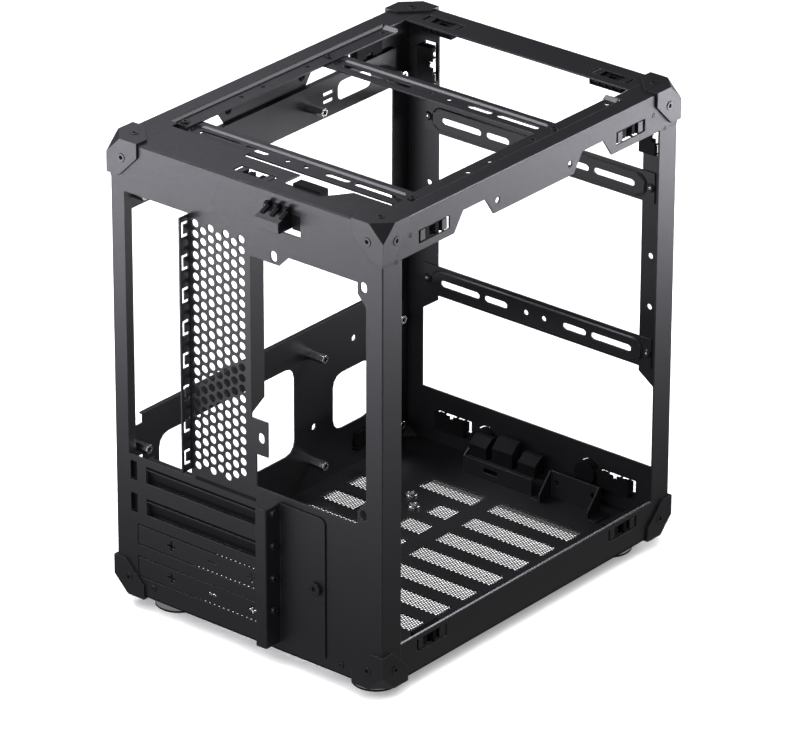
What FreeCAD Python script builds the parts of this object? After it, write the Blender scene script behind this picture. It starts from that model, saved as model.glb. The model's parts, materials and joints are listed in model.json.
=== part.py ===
import FreeCAD, Part
import os
from math import cos, pi, sin, sqrt

# Bare frame of a compact micro-ATX computer case, with its outer panels taken off.
# Millimetres, +Z up, rear panel at -Y, open access side at +X, board tray at -X.
# The pieces are drawn about the middle of the sheet frame, with its lower edge at z = 0,
# and moved at the end so that the feet stand on z = 0 and the whole part is centred.

# Standards: standoff grid of the board, expansion slots, screws of the power supply
standoff_rear = 154.94
standoff_front = 72.39
standoff_high = 157.48
standoff_low = 69.85
slot_pitch = 20.32
psu_high = 138.0
psu_tab_drop = 114.0
psu_upper_span = 64.0
psu_lower_span = 74.0

# Room left round the standards: the frame's three sizes are the sums of these
board_rear_gap = 11.66
board_front_gap = 23.21
board_floor_gap = 17.97
board_top_gap = 36.1
io_side = 10.1
io_width = 47.5
strip_width = 45.0
psu_strip_gap = 7.05
psu_side = 13.55
frame_width = io_side + io_width + strip_width + psu_strip_gap + psu_lower_span + psu_side
frame_depth = board_rear_gap + standoff_rear + standoff_front + board_front_gap
frame_height = board_floor_gap + standoff_low + standoff_high + board_top_gap
half_w = frame_width / 2
half_d = frame_depth / 2
rear_face = -half_d

# Sheet
sheet = 1.0
bend_flat = 0.6
rear_inner = rear_face + sheet
front_inner = half_d - sheet

# Facets of round forms: holes, screw heads, slot ends, grommets, turned pieces and vents
hole_sides = 6
screw_sides = 6
slot_end_steps = 3
ring_sides = 12
turned_sides = 12
vent_sides = 6

# Posts, rails and flanges
post_side = 16.2
rail_height = 23.4
rail_notch_height = 12.2
rail_seam_inset = 16.6
rail_inset = 21.6
rail_step_inset = 10.6
rail_step_run = 2.5
rail_step_drop = 2.0
rail_step_end = 38.1
rail_notch_gap = 34.6
rail_notch_top = 19.0
rail_notch_mouth = 34.5
rail_tab_gap = 20.6
rail_tab_drop = 16.4
rail_tab_radius = 2.0
rear_flange = 27.4
rear_flange_wide = 33.0
rear_flange_wide_edge = -24.0
front_flange = 24.2
floor_rail_height = 23.3
rail_low = frame_height - rail_height
seam = half_w - rail_seam_inset

# Port opening of the rear panel, between the slots and the top band, and its folds
io_band = 30.4
slot_base = 17.54
slot_to_io = 9.9
slot_count = 4
open_slots = 2
io_lip = 6.0
finger_flange = 8.4
finger_count = 8
finger_low_end = 14.6
finger_high_end = 8.0
finger_height = 9.6
finger_depth = 5.4
finger_slit = 2.0
strip_flange = 11.4
strip_flange_rise = 54.0
slot_first = slot_base + (slot_count - 1) * slot_pitch
io_left = -half_w + io_side
io_bottom = slot_first + slot_to_io
io_top = frame_height - io_band
io_height = io_top - io_bottom
strip_left = io_left + io_width
strip_right = strip_left + strip_width

# Power-supply cut-out, set out from the upper right screw
psu_drop = 38.56
psu_top_gap = 2.16
psu_lug_depth = 6.7
psu_lug_edge = 3.95
psu_right_gap = 1.85
psu_bottom_gap = 6.84
psu_tab_below = 10.54
psu_tab_above = 10.96
psu_ear = 6.1
psu_tab_width = 11.9
psu_tab_step = 3.4
psu_chamfer = 6.6
psu_hole_width = 4.6
psu_hole_height = 6.4
psu_x = half_w - psu_side
psu_z = frame_height - psu_drop
psu_lug_low = psu_z + psu_top_gap - psu_lug_depth

# Perforated strip
vent_columns = 7
vent_rows = 24
vent_side_gap = 4.8
vent_far_gap = 6.53
vent_top_gap = 4.8
vent_bottom_gap = 8.76
vent_radius = 2.55

# Expansion slots
slot_inset = 23.0
slot_length = 82.4
slot_height = 10.6
slot_notch_inset = 11.1
slot_notch_width = 5.1
slot_notch_height = 12.2
slot_cover_height = 18.4
slot_cover_overlap = 7.2
knockout_inset = 15.6
knockout_height = 13.4
knockout_slit = 0.9
pry_cross = 6.4
pry_width = 1.6
pry_left_gap = 25.6
pry_middle_gap = 56.5
pry_right_gap = 3.6
slot_left = -half_w + slot_inset
slot_right = slot_left + slot_length
knockout_left = -half_w + knockout_inset

# Slot retainer, folded from one sheet and lying on the rear panel
retainer_gap = 18.5
retainer_plate = 32.6
retainer_low = 6.5
retainer_rise = 15.1
retainer_reach = 13.4
retainer_lip = 7.4
retainer_corner = 4.0
retainer_screw_inset = 6.0
retainer_screw_rise = 42.9
slot_screw_reach = 6.9
slot_screw_rise = 11.2
slot_screw_across = 5.0
slot_screw_head = 1.8
thumb_radius = 4.0
thumb_height = 2.6
thumb_shank = 1.7
screw_clearance = 0.15
retainer_edge = slot_right + retainer_gap
retainer_right = retainer_edge + retainer_plate
retainer_high = slot_first + retainer_rise
retainer_screw_x = retainer_right - retainer_screw_inset
retainer_screw_z = retainer_low + retainer_screw_rise

# Panel catch in a window of the rear band
catch_left = 17.0
catch_width = 17.8
catch_reach = 11.0
catch_drop = 11.4
catch_shelf = 4.9
catch_inside = 8.0
catch_finger = 3.4
catch_finger_height = 4.6
catch_fingers = 3
catch_window_side = 3.0
catch_window_width = 26.4
catch_window_below = 5.8
catch_window_above = 2.0
catch_high = frame_height - catch_drop
catch_low = catch_high - catch_shelf
catch_window_low = catch_low - catch_window_below

# Panel clips and their windows
clip_length = 26.6
clip_width = 7.8
clip_slit = 2.0
clip_rim = 2.2
clip_depth = 5.0
clip_wall = 1.2
clip_pad_length = 4.2
clip_pad_gap = 0.8
clip_pad_sink = 0.25
clip_clearance = 0.4
side_clip_inset = 43.7
top_clip_drop = 15.1
floor_clip_z = 15.7
front_clip_side = 36.6
front_clip_inset = 14.0
front_wall_clip_z = 18.8
post_clip_side = 16.6
post_clip_drop = 34.4
rear_clip_x = -3.0
rear_clip_inset = 13.4
side_clip_y = half_d - side_clip_inset
front_clip_x = half_w - front_clip_side
post_clip_x = half_w - post_clip_side
post_clip_z = frame_height - post_clip_drop
rail_notch_centre = side_clip_y - rail_notch_gap

# Front frame
front_post = 23.1
front_post_low = 11.6
front_post_step = 95.0
front_post_chamfer = 8.0
front_wall = 35.5
front_lip = 12.0
front_spare_rises = (29.4, 61.7)
front_spare_radius = 1.9
button_hole_x = 41.4
button_hole_z = 19.3
button_hole_radius = 7.5
port_hole_x = -36.7
port_hole_z = 16.0

# Fan bars, all stamped with the same tool
bar_width = 19.0
bar_end_inset = 13.6
bar_flat_end = 6.0
bar_emboss_width = 13.6
bar_emboss_depth = 1.2
bar_slot_width = 4.2
bar_outer_slot = 30.0
bar_outer_end = 13.45
bar_inner_slot = 17.6
bar_slot_gap = 3.35
bar_hole_place = 6.7
bar_hole_radius = 1.8
bar_screw_inset = 16.3
bar_screw_radius = 1.6
bar_screw_head = 2.9
bar_screw_height = 1.2
top_bar_inset = 44.9
top_bar_pitch = 124.5
rail_spare_hole = 19.3
front_bar_drop = 68.1
front_bar_pitch = 105.0
bar_end = half_w - bar_end_inset
bar_screw_x = half_w - bar_screw_inset
top_bar_rear = rear_face + top_bar_inset
top_bar_front = top_bar_rear + top_bar_pitch
front_bar_high = frame_height - front_bar_drop
front_bar_low = front_bar_high - front_bar_pitch

# Board tray, set out from the grid of standoffs
tray_inset = 4.0
tray_front_margin = 6.11
tray_upper_margin = 11.0
tray_upper_rear_gap = 5.1
tray_upper_window = (25.5, 15.89, 4.3, 7.7)
tray_upper_slots = (15.0, 20.0)
tray_upper_slot_rise = 6.2
tray_lower_margin = 16.68
tray_lower_rear_gap = 19.1
tray_hem = 3.0
tray_window_rear = (13.5, 14.3, 10.83, 2.22)
tray_window_front = (20.4, 15.89, 11.33, 21.82)
tray_corner = 8.0
tray_strap_below = 8.82
tray_strap_above = 10.68
tray_foot_low = 8.0
tray_foot_rise = 52.03
tray_hole_upper = (39.8, 3.52)
tray_hole_lower = (2.9, 21.43)
tray_hole_radius = 1.9
standoff_length = 11.6
standoff_across = 5.0
standoff_bore = 1.3
tray_face = -half_w + tray_inset
column_rear = rear_face + board_rear_gap
column_middle = column_rear + standoff_rear
column_front = column_middle + standoff_front
row_low = board_floor_gap
row_middle = row_low + standoff_low
row_high = row_middle + standoff_high

# Floor fields of fine perforation, drawn as combs of slots
field_left_side = 16.6
field_right_side = 32.0
field_left_middle = -5.6
field_right_middle = 5.2
field_rear = 63.5
field_front = 39.98
field_depth = 14.0
field_rows = 7
closed_side = 42.6
closed_run = 31.0
closed_run_long = 34.6
closed_front_side = 52.1
comb_pitch = 28.0
comb_bar = 5.0
grommet_row = 5
grommet_left_side = 56.8
grommet_left_rise = 12.0
grommet_right_side = 67.5
grommet_right_rise = 1.2
grommet_radius = 4.2
grommet_bore = 2.0
grommet_hole = 3.0
grommet_rise = 1.6
field_first = rear_face + field_rear
closed_left = -half_w + closed_side
field_closed = {
    4: (closed_left, closed_left + closed_run),
    5: (closed_left, closed_left + closed_run_long),
    6: (-half_w, -half_w + closed_front_side),
}
field_pitch = (frame_depth - field_rear - field_front - field_depth) / (field_rows - 1)

# Brackets on the floor at the front
support_gap = 2.0
support_width = 37.0
support_inset = 24.6
support_depth = 12.4
support_height = 17.0
support_wing = 5.0
support_foot = 6.0
ports_side = 60.6
ports_width = 52.0
ports_inset = 21.1
ports_shelf = 12.0
ports_height = 11.0
ports_gusset = 8.0
housing_widths = (13.0, 15.0, 13.0)
housing_heights = (15.0, 19.0, 14.0)
housing_depth = 9.0
housing_gap = 4.5
ports_left = -half_w + ports_side
ports_front = front_inner - ports_inset
support_left = ports_left + ports_width + support_gap + support_foot
support_front = front_inner - support_inset

# Corner brackets
bracket_size = 22.5
bracket_proud = 1.5
bracket_facet = 10.2
bracket_trim = 9.0
bracket_screw = 11.2
corner_screw_radius = 2.7
corner_screw_height = 0.4

# Feet
foot_height = 12.1
foot_radius = 13.9
foot_pad_height = 2.2
foot_pad_inset = 1.1
foot_neck = 11.5
foot_neck_height = 3.0
foot_inset_x = 24.8
foot_inset_y = 24.4

front_reach = bracket_proud + corner_screw_height
shift = FreeCAD.Vector(0, (retainer_reach - front_reach) / 2, foot_height)


def vector_on(axis, u, v, w):
    """Point with w along the axis and u, v along the other two, in X, Y, Z order."""
    if axis == "x":
        return FreeCAD.Vector(w, u, v)
    if axis == "y":
        return FreeCAD.Vector(u, w, v)
    return FreeCAD.Vector(u, v, w)


def box(x0, x1, y0, y1, z0, z1):
    corner = FreeCAD.Vector(min(x0, x1), min(y0, y1), min(z0, z1))
    return Part.makeBox(abs(x1 - x0), abs(y1 - y0), abs(z1 - z0), corner)


def slab(axis, u0, u1, v0, v1, w0, w1):
    """Box given by its sides across and along the axis."""
    a = vector_on(axis, u0, v0, w0)
    b = vector_on(axis, u1, v1, w1)
    return box(a.x, b.x, a.y, b.y, a.z, b.z)


def prism(axis, points, w0, w1):
    """Polygon of (u, v) points, extruded along the axis from w0 to w1."""
    corners = [vector_on(axis, u, v, w0) for u, v in points]
    face = Part.Face(Part.makePolygon(corners + corners[:1]))
    return face.extrude(vector_on(axis, 0, 0, w1 - w0))


def disc(axis, u, v, radius, w0, w1, sides=hole_sides):
    """Round piece or hole, drawn with flat sides whose area is the circle's."""
    outer = radius * sqrt(2 * pi / sides / sin(2 * pi / sides))
    return prism(axis, polygon(u, v, outer, sides, pi / sides), w0, w1)


def drilled(axis, u, v, radius, w0, w1):
    """Truly round hole, for the screws of parts that are fitted later."""
    return Part.makeCylinder(radius, w1 - w0, vector_on(axis, u, v, w0), vector_on(axis, 0, 0, 1))


def drilled_slot(axis, u, v, length, width, w0, w1):
    """Upright slot with truly round ends, for the same use."""
    run = (length - width) / 2
    ends = [drilled(axis, u, v + way * run, width / 2, w0, w1) for way in (-1, 1)]
    return joined([slab(axis, u - width / 2, u + width / 2, v - run, v + run, w0, w1)] + ends)


def polygon(u, v, radius, sides, turn=0.0):
    steps = [turn + 2 * pi * i / sides for i in range(sides)]
    return [(u + radius * cos(a), v + radius * sin(a)) for a in steps]


def obround(axis, u, v, length, width, w0, w1):
    """Level slot with faceted round ends, centred on (u, v)."""
    r = width / 2
    run = length / 2 - r
    turns = [-pi / 2 + pi * i / slot_end_steps for i in range(slot_end_steps + 1)]
    half = [(run + r * cos(a), r * sin(a)) for a in turns]
    outline = half + [(-a, -b) for a, b in half]
    return prism(axis, [(u + a, v + b) for a, b in outline], w0, w1)


def rounded_slab(axis, u0, u1, v0, v1, radius, w0, w1):
    """Rectangle with faceted round corners, extruded along the axis."""
    outline = []
    corners = ((u1, v1, -1, -1), (u0, v1, 1, -1), (u0, v0, 1, 1), (u1, v0, -1, 1))
    for quarter, (u, v, du, dv) in enumerate(corners):
        for i in range(slot_end_steps + 1):
            a = pi / 2 * (quarter + i / slot_end_steps)
            outline.append((u + radius * (du + cos(a)), v + radius * (dv + sin(a))))
    return prism(axis, outline, w0, w1)


def joined(shapes):
    return shapes[0].fuse(shapes[1:]).removeSplitter()


def eased_bends(shape, lines):
    """Eases the outer bends with one flat: each line is an axis and its two fixed coordinates."""
    edges = []
    for axis, u, v in lines:
        for edge in shape.Edges:
            middle = edge.CenterOfMass
            if (middle - vector_on(axis, u, v, vector_along(axis, middle))).Length > 1e-4:
                continue
            if abs(edge.tangentAt(edge.FirstParameter).dot(vector_on(axis, 0, 0, 1))) > 0.99:
                edges.append(edge)
    return shape.makeChamfer(bend_flat, edges)


def vector_along(axis, vector):
    return {"x": vector.x, "y": vector.y, "z": vector.z}[axis]


def mirrored_x(shape):
    return shape.mirror(FreeCAD.Vector(0, 0, 0), FreeCAD.Vector(1, 0, 0))


def both_sides(value):
    return (-value, value)


def corner_cutters():
    """Wedges that take the sheet away behind the facet of each corner bracket."""
    reach = bracket_facet + bracket_proud * (sqrt(3) - 3)
    cutters = []
    for sx in (-1, 1):
        for sy in (-1, 1):
            for top in (0, 1):
                tip = FreeCAD.Vector(sx * half_w, sy * half_d, top * frame_height)
                sz = 1 - 2 * top
                ends = [(-sx, 0, 0), (0, -sy, 0), (0, 0, sz)]
                cutters.append(tetrahedron(tip, ends, reach))
    return cutters


def tetrahedron(tip, directions, reach):
    """Corner of a box cut off at the same reach along its three edges."""
    ends = [tip + FreeCAD.Vector(*d) * reach for d in directions]
    triples = [(tip, ends[0], ends[1]), (tip, ends[1], ends[2]), (tip, ends[2], ends[0]), tuple(ends)]
    faces = [Part.Face(Part.makePolygon([a, b, c, a])) for a, b, c in triples]
    solid = Part.makeSolid(Part.makeShell(faces))
    if solid.Volume < 0:
        solid.reverse()
    return solid


def clip_window(axis, u, v, w0, w1, along_v=False):
    length, width = (clip_width, clip_length) if along_v else (clip_length, clip_width)
    return slab(axis, u - length / 2, u + length / 2, v - width / 2, v + width / 2, w0, w1)


def rear_panel():
    """Rear wall with its top flange, the side folds of both posts, and every opening."""
    wall = [
        box(-half_w, half_w, rear_face, rear_inner, 0, rail_low),
        box(-half_w + sheet, half_w - sheet, rear_face, rear_inner, rail_low, frame_height - sheet),
        box(-seam, seam, rear_face, rear_inner, frame_height - sheet, frame_height),
        box(-seam, seam, rear_face, rear_face + rear_flange, frame_height - sheet, frame_height),
        box(-seam, rear_flange_wide_edge, rear_face, rear_face + rear_flange_wide,
            frame_height - sheet, frame_height),
    ]
    for side in (-1, 1):
        wall.append(box(side * half_w, side * (half_w - sheet), rear_face, rear_face + post_side, 0,
                        rail_low))
    blank = joined(wall)
    blank = eased_bends(blank, [("x", rear_face, frame_height), ("z", -half_w, rear_face),
                                  ("z", half_w, rear_face)])
    panel = blank.cut(rear_openings()).fuse(rear_folds()).removeSplitter()
    return panel.cut(corner_cutters() + finger_cuts())


def rear_folds():
    """Folded edges of the port opening and of the perforated strip."""
    lip = box(io_left - sheet, io_left, rear_inner, rear_face + io_lip, io_bottom, io_top)
    fingers = box(strip_left, strip_left + sheet, rear_face - finger_flange, rear_face, io_bottom + io_lip,
                  io_top)
    inner = rear_face + strip_flange
    low = io_bottom + strip_flange_rise
    high = psu_lug_low - sheet
    outline = [(rear_inner, low), (inner, low + io_lip), (inner, high), (rear_inner, high)]
    stiffener = prism("x", outline, strip_right - sheet, strip_right)
    return [lip, fingers, stiffener]


def finger_cuts():
    """C-shaped cuts that free a row of spring fingers beside the port opening."""
    cuts = []
    outer = rear_face - (finger_flange + finger_depth) / 2
    root = outer + finger_depth
    pitch = (io_height - finger_low_end - finger_high_end) / (finger_count - 1)
    for i in range(finger_count):
        z = io_bottom + finger_low_end + i * pitch
        window = box(strip_left, strip_left + sheet, outer, root, z - finger_height / 2,
                     z + finger_height / 2)
        tongue = box(strip_left, strip_left + sheet, outer + finger_slit, root,
                     z - finger_height / 2 + finger_slit, z + finger_height / 2 - finger_slit)
        cuts.append(window.cut(tongue))
    return cuts


def rear_openings():
    through = (rear_face - sheet, rear_inner + sheet)
    cuts = [slab("y", io_left, strip_left, io_bottom, io_top, *through)]
    cuts.append(prism("y", psu_outline(), *through))
    cuts += [drilled_slot("y", x, z, psu_hole_height, psu_hole_width, *through) for x, z in psu_holes()]
    cuts += [disc("y", x, z, vent_radius, *through, vent_sides) for x, z in vent_places()]
    cuts += slot_cuts(through)
    window_left = catch_left - catch_window_side
    cuts.append(slab("y", window_left, window_left + catch_window_width, catch_window_low,
                     catch_high + catch_window_above, *through))
    cuts.append(disc("y", retainer_screw_x, retainer_screw_z, thumb_shank + screw_clearance, *through))
    flange = (frame_height - 2 * sheet, frame_height + sheet)
    cuts.append(clip_window("z", rear_clip_x, rear_face + rear_clip_inset, *flange))
    edge = rear_face + rear_flange + sheet
    root = rear_face + rear_clip_inset
    notch = [(catch_left, edge), (catch_left, root), (catch_left + 1.6 * catch_width, root),
             (catch_left + 2.2 * catch_width, edge)]
    cuts.append(prism("z", notch, *flange))
    return cuts


def psu_outline():
    """Power-supply cut-out, with the lugs and ears that carry its screw holes."""
    top = psu_z + psu_top_gap
    right = psu_x + psu_right_gap
    bottom = psu_z - psu_high - psu_bottom_gap
    tab_low = psu_z - psu_tab_drop - psu_tab_below
    tab_high = psu_z - psu_tab_drop + psu_tab_above
    tab_right = strip_right + psu_tab_width
    step = strip_right + psu_tab_step
    ear_left = right - psu_ear
    lug_right = psu_x - psu_upper_span + psu_lug_edge
    return [
        (strip_right, psu_lug_low), (lug_right, psu_lug_low), (lug_right + psu_chamfer, top),
        (ear_left, top), (ear_left, psu_lug_low), (right, psu_lug_low - psu_chamfer),
        (right, bottom + psu_ear + 1.6 * psu_chamfer), (ear_left, bottom + psu_ear + 2 * sheet),
        (ear_left, bottom), (step, bottom), (step, tab_low), (tab_right, tab_low), (tab_right, tab_high),
        (strip_right, tab_high),
    ]


def psu_holes():
    """Standard power-supply screw places, from the upper right one."""
    offsets = ((0, 0), (-psu_upper_span, 0), (-psu_lower_span, -psu_tab_drop), (0, -psu_high))
    return [(psu_x + dx, psu_z + dz) for dx, dz in offsets]


def vent_places():
    """Staggered rows of round holes; the last hole of the last column is left closed."""
    places = []
    across = (strip_width - vent_side_gap - vent_far_gap) / (vent_columns - 1)
    pitch = (io_height - vent_top_gap - vent_bottom_gap) / (vent_rows - 1)
    for column in range(vent_columns):
        odd = column % 2
        for row in range(vent_rows - odd - (column == vent_columns - 1)):
            z = io_top - vent_top_gap - (row + odd / 2) * pitch
            places.append((strip_left + vent_side_gap + column * across, z))
    return places


def slot_cuts(through):
    """Open slots with their tongue notches, and slots still closed by knock-outs."""
    cuts = []
    notch_left = -half_w + slot_notch_inset
    notch_right = notch_left + slot_notch_width
    half = slot_notch_height / 2
    for i in range(open_slots):
        z = slot_first - i * slot_pitch
        cuts.append(slab("y", slot_left, slot_right, z - slot_height / 2, z + slot_height / 2, *through))
        cuts.append(slab("y", notch_left, notch_right, z - half, z + half, *through))
    for i in range(open_slots, slot_count):
        z = slot_first - i * slot_pitch + sheet
        low = z - knockout_height / 2
        high = z + knockout_height / 2
        cuts.append(slab("y", knockout_left, slot_right, low, low + knockout_slit, *through))
        cuts.append(slab("y", knockout_left, slot_right, high - knockout_slit, high, *through))
        cuts.append(slab("y", knockout_left, knockout_left + knockout_slit, low, high, *through))
        level = (pry_cross / 2, pry_width / 2)
        upright = (pry_width / 2, pry_cross / 2)
        left = knockout_left + pry_left_gap
        right = slot_right - pry_right_gap
        marks = [(left, level), (left, upright), (right, level), (right, upright)]
        marks.append((knockout_left + pry_middle_gap, level))
        cuts += [slab("y", x - a, x + a, z - b, z + b, *through) for x, (a, b) in marks]
    return cuts


def slot_cover(index):
    """Removable cover that lies behind an open slot."""
    z = slot_first - index * slot_pitch
    half = slot_cover_height / 2
    left = -half_w + slot_notch_inset - sheet
    right = slot_right + slot_cover_overlap
    plate = slab("y", left, right, z - half, z + half, rear_inner, rear_inner + sheet)
    rib = slab("y", slot_left, slot_right, z - sheet, z + sheet, rear_inner + sheet, rear_inner + 2 * sheet)
    return joined([plate, rib])


def slot_retainer():
    """Plate on the rear panel with an outward fold and lip over the ends of the slots."""
    outer = rear_face - sheet
    tip = rear_face - retainer_reach
    plate = slab("y", retainer_edge - sheet, retainer_right, retainer_low, retainer_high, outer, rear_face)
    corner = FreeCAD.Vector(retainer_right, (outer + rear_face) / 2, retainer_high)
    plate = plate.makeFillet(retainer_corner,
                             [e for e in plate.Edges if (e.CenterOfMass - corner).Length < 1e-4])
    fold = box(retainer_edge - sheet, retainer_edge, tip, rear_face, retainer_low, retainer_high)
    lip = box(retainer_edge - retainer_lip, retainer_edge, tip, tip + sheet, retainer_low, retainer_high)
    blank = eased_bends(joined([plate, fold, lip]), [("z", retainer_edge, tip)])
    holes = [disc("x", y, z, slot_screw_across / 2 - 2 * screw_clearance, retainer_edge - 2 * sheet,
                  retainer_edge + sheet) for y, z in slot_screw_places()]
    holes.append(disc("y", retainer_screw_x, retainer_screw_z, thumb_shank + screw_clearance,
                      outer - sheet, rear_inner))
    return blank.cut(holes)


def slot_screw_places():
    high = slot_first + slot_screw_rise
    return [(rear_face - slot_screw_reach, high - i * slot_pitch) for i in range(slot_count)]


def slot_screws():
    """Hexagon-headed screws through the fold of the slot retainer."""
    screws = []
    shank = slot_screw_across / 2 - 3 * screw_clearance
    for y, z in slot_screw_places():
        head = prism("x", polygon(y, z, slot_screw_across / sqrt(3), 6), retainer_edge,
                     retainer_edge + slot_screw_head)
        stem = prism("x", polygon(y, z, shank, 6), retainer_edge - retainer_lip / 2, retainer_edge)
        screws.append(joined([head, stem]))
    return screws


def retainer_screw():
    """Thumb screw that holds the slot retainer on the rear panel."""
    outer = rear_face - sheet
    head = disc("y", retainer_screw_x, retainer_screw_z, thumb_radius, outer - thumb_height, outer,
                turned_sides)
    socket = prism("y", polygon(retainer_screw_x, retainer_screw_z, thumb_shank, 6), outer - thumb_height,
                   outer - thumb_height / 2)
    shank = disc("y", retainer_screw_x, retainer_screw_z, thumb_shank, outer, rear_inner + 3 * sheet)
    return joined([head, shank]).cut(socket)


def rear_catch():
    """Moulded catch that stands out of its window in the rear band, with hooked fingers on a shelf."""
    right = catch_left + catch_width
    tip = rear_face - catch_reach
    outline = [(tip, catch_high), (tip, catch_low), (rear_face, catch_window_low),
               (rear_inner + catch_inside, catch_window_low), (rear_inner + catch_inside, catch_high)]
    body = prism("x", outline, catch_left, right)
    pitch = (catch_width - catch_finger) / (catch_fingers - 1)
    fingers = []
    for i in range(catch_fingers):
        left = catch_left + i * pitch
        profile = [(tip + catch_reach / 3, catch_high), (rear_face - sheet, catch_high),
                   (rear_face - sheet, catch_high + catch_finger_height),
                   (tip + catch_reach / 2, catch_high + catch_finger_height * 0.8)]
        fingers.append(prism("x", profile, left, left + catch_finger))
    window_right = catch_left - catch_window_side + catch_window_width
    shoulder = box(catch_left, window_right + 2 * sheet, rear_inner, rear_inner + catch_inside / 3,
                   catch_window_low - 2 * sheet, catch_window_low)
    return joined([body, shoulder] + fingers)


def top_rail():
    """Right-hand top rail: notched side wall, top strip, and the stepped seat of the fan bars."""
    top = frame_height
    step = half_w - rail_step_inset
    seat = top - rail_step_drop
    run = half_d - rail_step_end
    pieces = [
        box(half_w - sheet, half_w, -half_d, half_d, rail_low, top),
        box(step, half_w, -half_d, half_d, top - sheet, top),
        box(half_w - rail_inset, step - rail_step_run, -run, run, seat - sheet, seat),
        prism("y", [(step, top), (step, top - sheet), (step - rail_step_run, seat - sheet),
                    (step - rail_step_run, seat)], -run, run),
    ]
    for side in (-1, 1):
        pieces.append(box(seam, step, side * run, side * half_d, top - sheet, top))
    rail = eased_bends(joined(pieces), [("y", half_w, top)])
    cuts = corner_cutters()
    side_span = (half_w - 2 * sheet, half_w + sheet)
    for side in (-1, 1):
        wide = rail_notch_mouth / 2
        narrow = rail_notch_top / 2
        y = side * rail_notch_centre
        root = top - rail_notch_height
        mouth = rail_low - sheet
        outline = [(y - wide, mouth), (y - wide, rail_low), (y - narrow, root), (y + narrow, root),
                   (y + wide, rail_low), (y + wide, mouth)]
        cuts.append(prism("x", outline, *side_span))
        tab = side * (rail_notch_centre - rail_tab_gap)
        cuts.append(disc("x", tab, top - rail_tab_drop, rail_tab_radius, *side_span))
        cuts.append(clip_window("x", side * side_clip_y, top - top_clip_drop, *side_span))
        cuts += [disc("z", bar_screw_x, side * y, bar_screw_radius, seat - 2 * sheet, top + sheet)
                 for y in (rail_spare_hole, top_bar_front, -top_bar_rear)]
    return rail.cut(cuts)


def front_frame():
    """Front sheet: posts with their side folds, top flange and lower wall."""
    pieces = [
        box(-half_w, half_w, front_inner, half_d, 0, rail_low),
        box(-half_w + sheet, half_w - sheet, front_inner, half_d, rail_low, frame_height - sheet),
        box(-seam, seam, half_d - front_flange, half_d, frame_height - sheet, frame_height),
    ]
    for side in (-1, 1):
        pieces.append(box(side * half_w, side * (half_w - sheet), half_d - post_side, half_d, 0, rail_low))
    blank = eased_bends(joined(pieces), [("x", half_d, frame_height), ("z", -half_w, half_d),
                                           ("z", half_w, half_d)])
    through = (front_inner - sheet, half_d + sheet)
    wide = half_w - front_post
    low = half_w - front_post_low
    top = frame_height - front_lip
    outline = [(-low, front_wall), (low, front_wall), (low, front_post_step - front_post_chamfer),
               (wide, front_post_step), (wide, top), (-wide, top), (-wide, front_post_step),
               (-low, front_post_step - front_post_chamfer)]
    cuts = corner_cutters()
    cuts.append(prism("y", outline, *through))
    for side in (-1, 1):
        for rise in front_spare_rises:
            cuts.append(disc("y", side * bar_screw_x, front_bar_low + rise, front_spare_radius, *through))
        for z in (front_bar_low, front_bar_high):
            cuts.append(disc("y", side * bar_screw_x, z, bar_screw_radius, *through))
        cuts.append(clip_window("y", side * front_clip_x, front_wall_clip_z, *through))
        cuts.append(clip_window("y", side * post_clip_x, post_clip_z, *through, along_v=True))
        cuts.append(clip_window("z", side * front_clip_x, half_d - front_clip_inset,
                                frame_height - 2 * sheet, frame_height + sheet))
    cuts.append(disc("y", button_hole_x, button_hole_z, button_hole_radius, *through, ring_sides))
    cuts.append(disc("y", port_hole_x, port_hole_z, button_hole_radius, *through, ring_sides))
    return blank.cut(cuts)


def floor_pan():
    """Floor with a rail folded up at each side, combed where it is perforated."""
    run = half_d - post_side
    pieces = [box(-half_w + sheet, half_w - sheet, rear_inner, front_inner, 0, sheet),
              box(-half_w, half_w, -run, run, 0, sheet)]
    for side in (-1, 1):
        pieces.append(box(side * half_w, side * (half_w - sheet), -run, run, 0, floor_rail_height))
    blank = eased_bends(joined(pieces), [("y", -half_w, 0), ("y", half_w, 0)])
    cuts = corner_cutters()
    through = (-sheet, 2 * sheet)
    for side in (-1, 1):
        for y in both_sides(side_clip_y):
            wall = sorted((side * (half_w - 2 * sheet), side * (half_w + sheet)))
            cuts.append(clip_window("x", y, floor_clip_z, *wall))
    cuts += [slab("z", *slot, *through) for slot in comb_slots()]
    cuts += [disc("z", x, y, grommet_hole, *through) for x, y in grommet_spots()]
    return blank.cut(cuts)


def field_spans(row):
    """Left and right ends of the perforated fields in one row across the floor."""
    left = -half_w + field_left_side
    spans = [(field_right_middle, half_w - field_right_side)]
    start, end = field_closed.get(row, (left, left))
    spans += [(a, b) for a, b in ((left, start), (end, field_left_middle)) if b > a]
    return spans


def comb_slots():
    """Sides of the slots that stand for the fine perforation of the floor."""
    slots = []
    for row in range(field_rows):
        y = field_first + row * field_pitch
        for left, right in field_spans(row):
            count = max(1, round((right - left) / comb_pitch))
            pitch = (right - left + comb_bar) / count
            slots += [(left + i * pitch, left + (i + 1) * pitch - comb_bar, y, y + field_depth)
                      for i in range(count)]
    return slots


def grommet_spots():
    row = field_first + grommet_row * field_pitch
    return [(-half_w + grommet_left_side, row + grommet_left_rise),
            (-half_w + grommet_right_side, row + grommet_right_rise)]


def floor_grommets():
    """Ringed grommets for a drive, clipped into the floor."""
    grommets = []
    top = sheet + grommet_rise
    for x, y in grommet_spots():
        ring = disc("z", x, y, grommet_radius, sheet, top, ring_sides)
        neck = disc("z", x, y, grommet_hole, 0, sheet)
        bore = disc("z", x, y, grommet_bore, -sheet, top + sheet)
        grommets.append(joined([ring, neck]).cut(bore))
    return grommets


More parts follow.
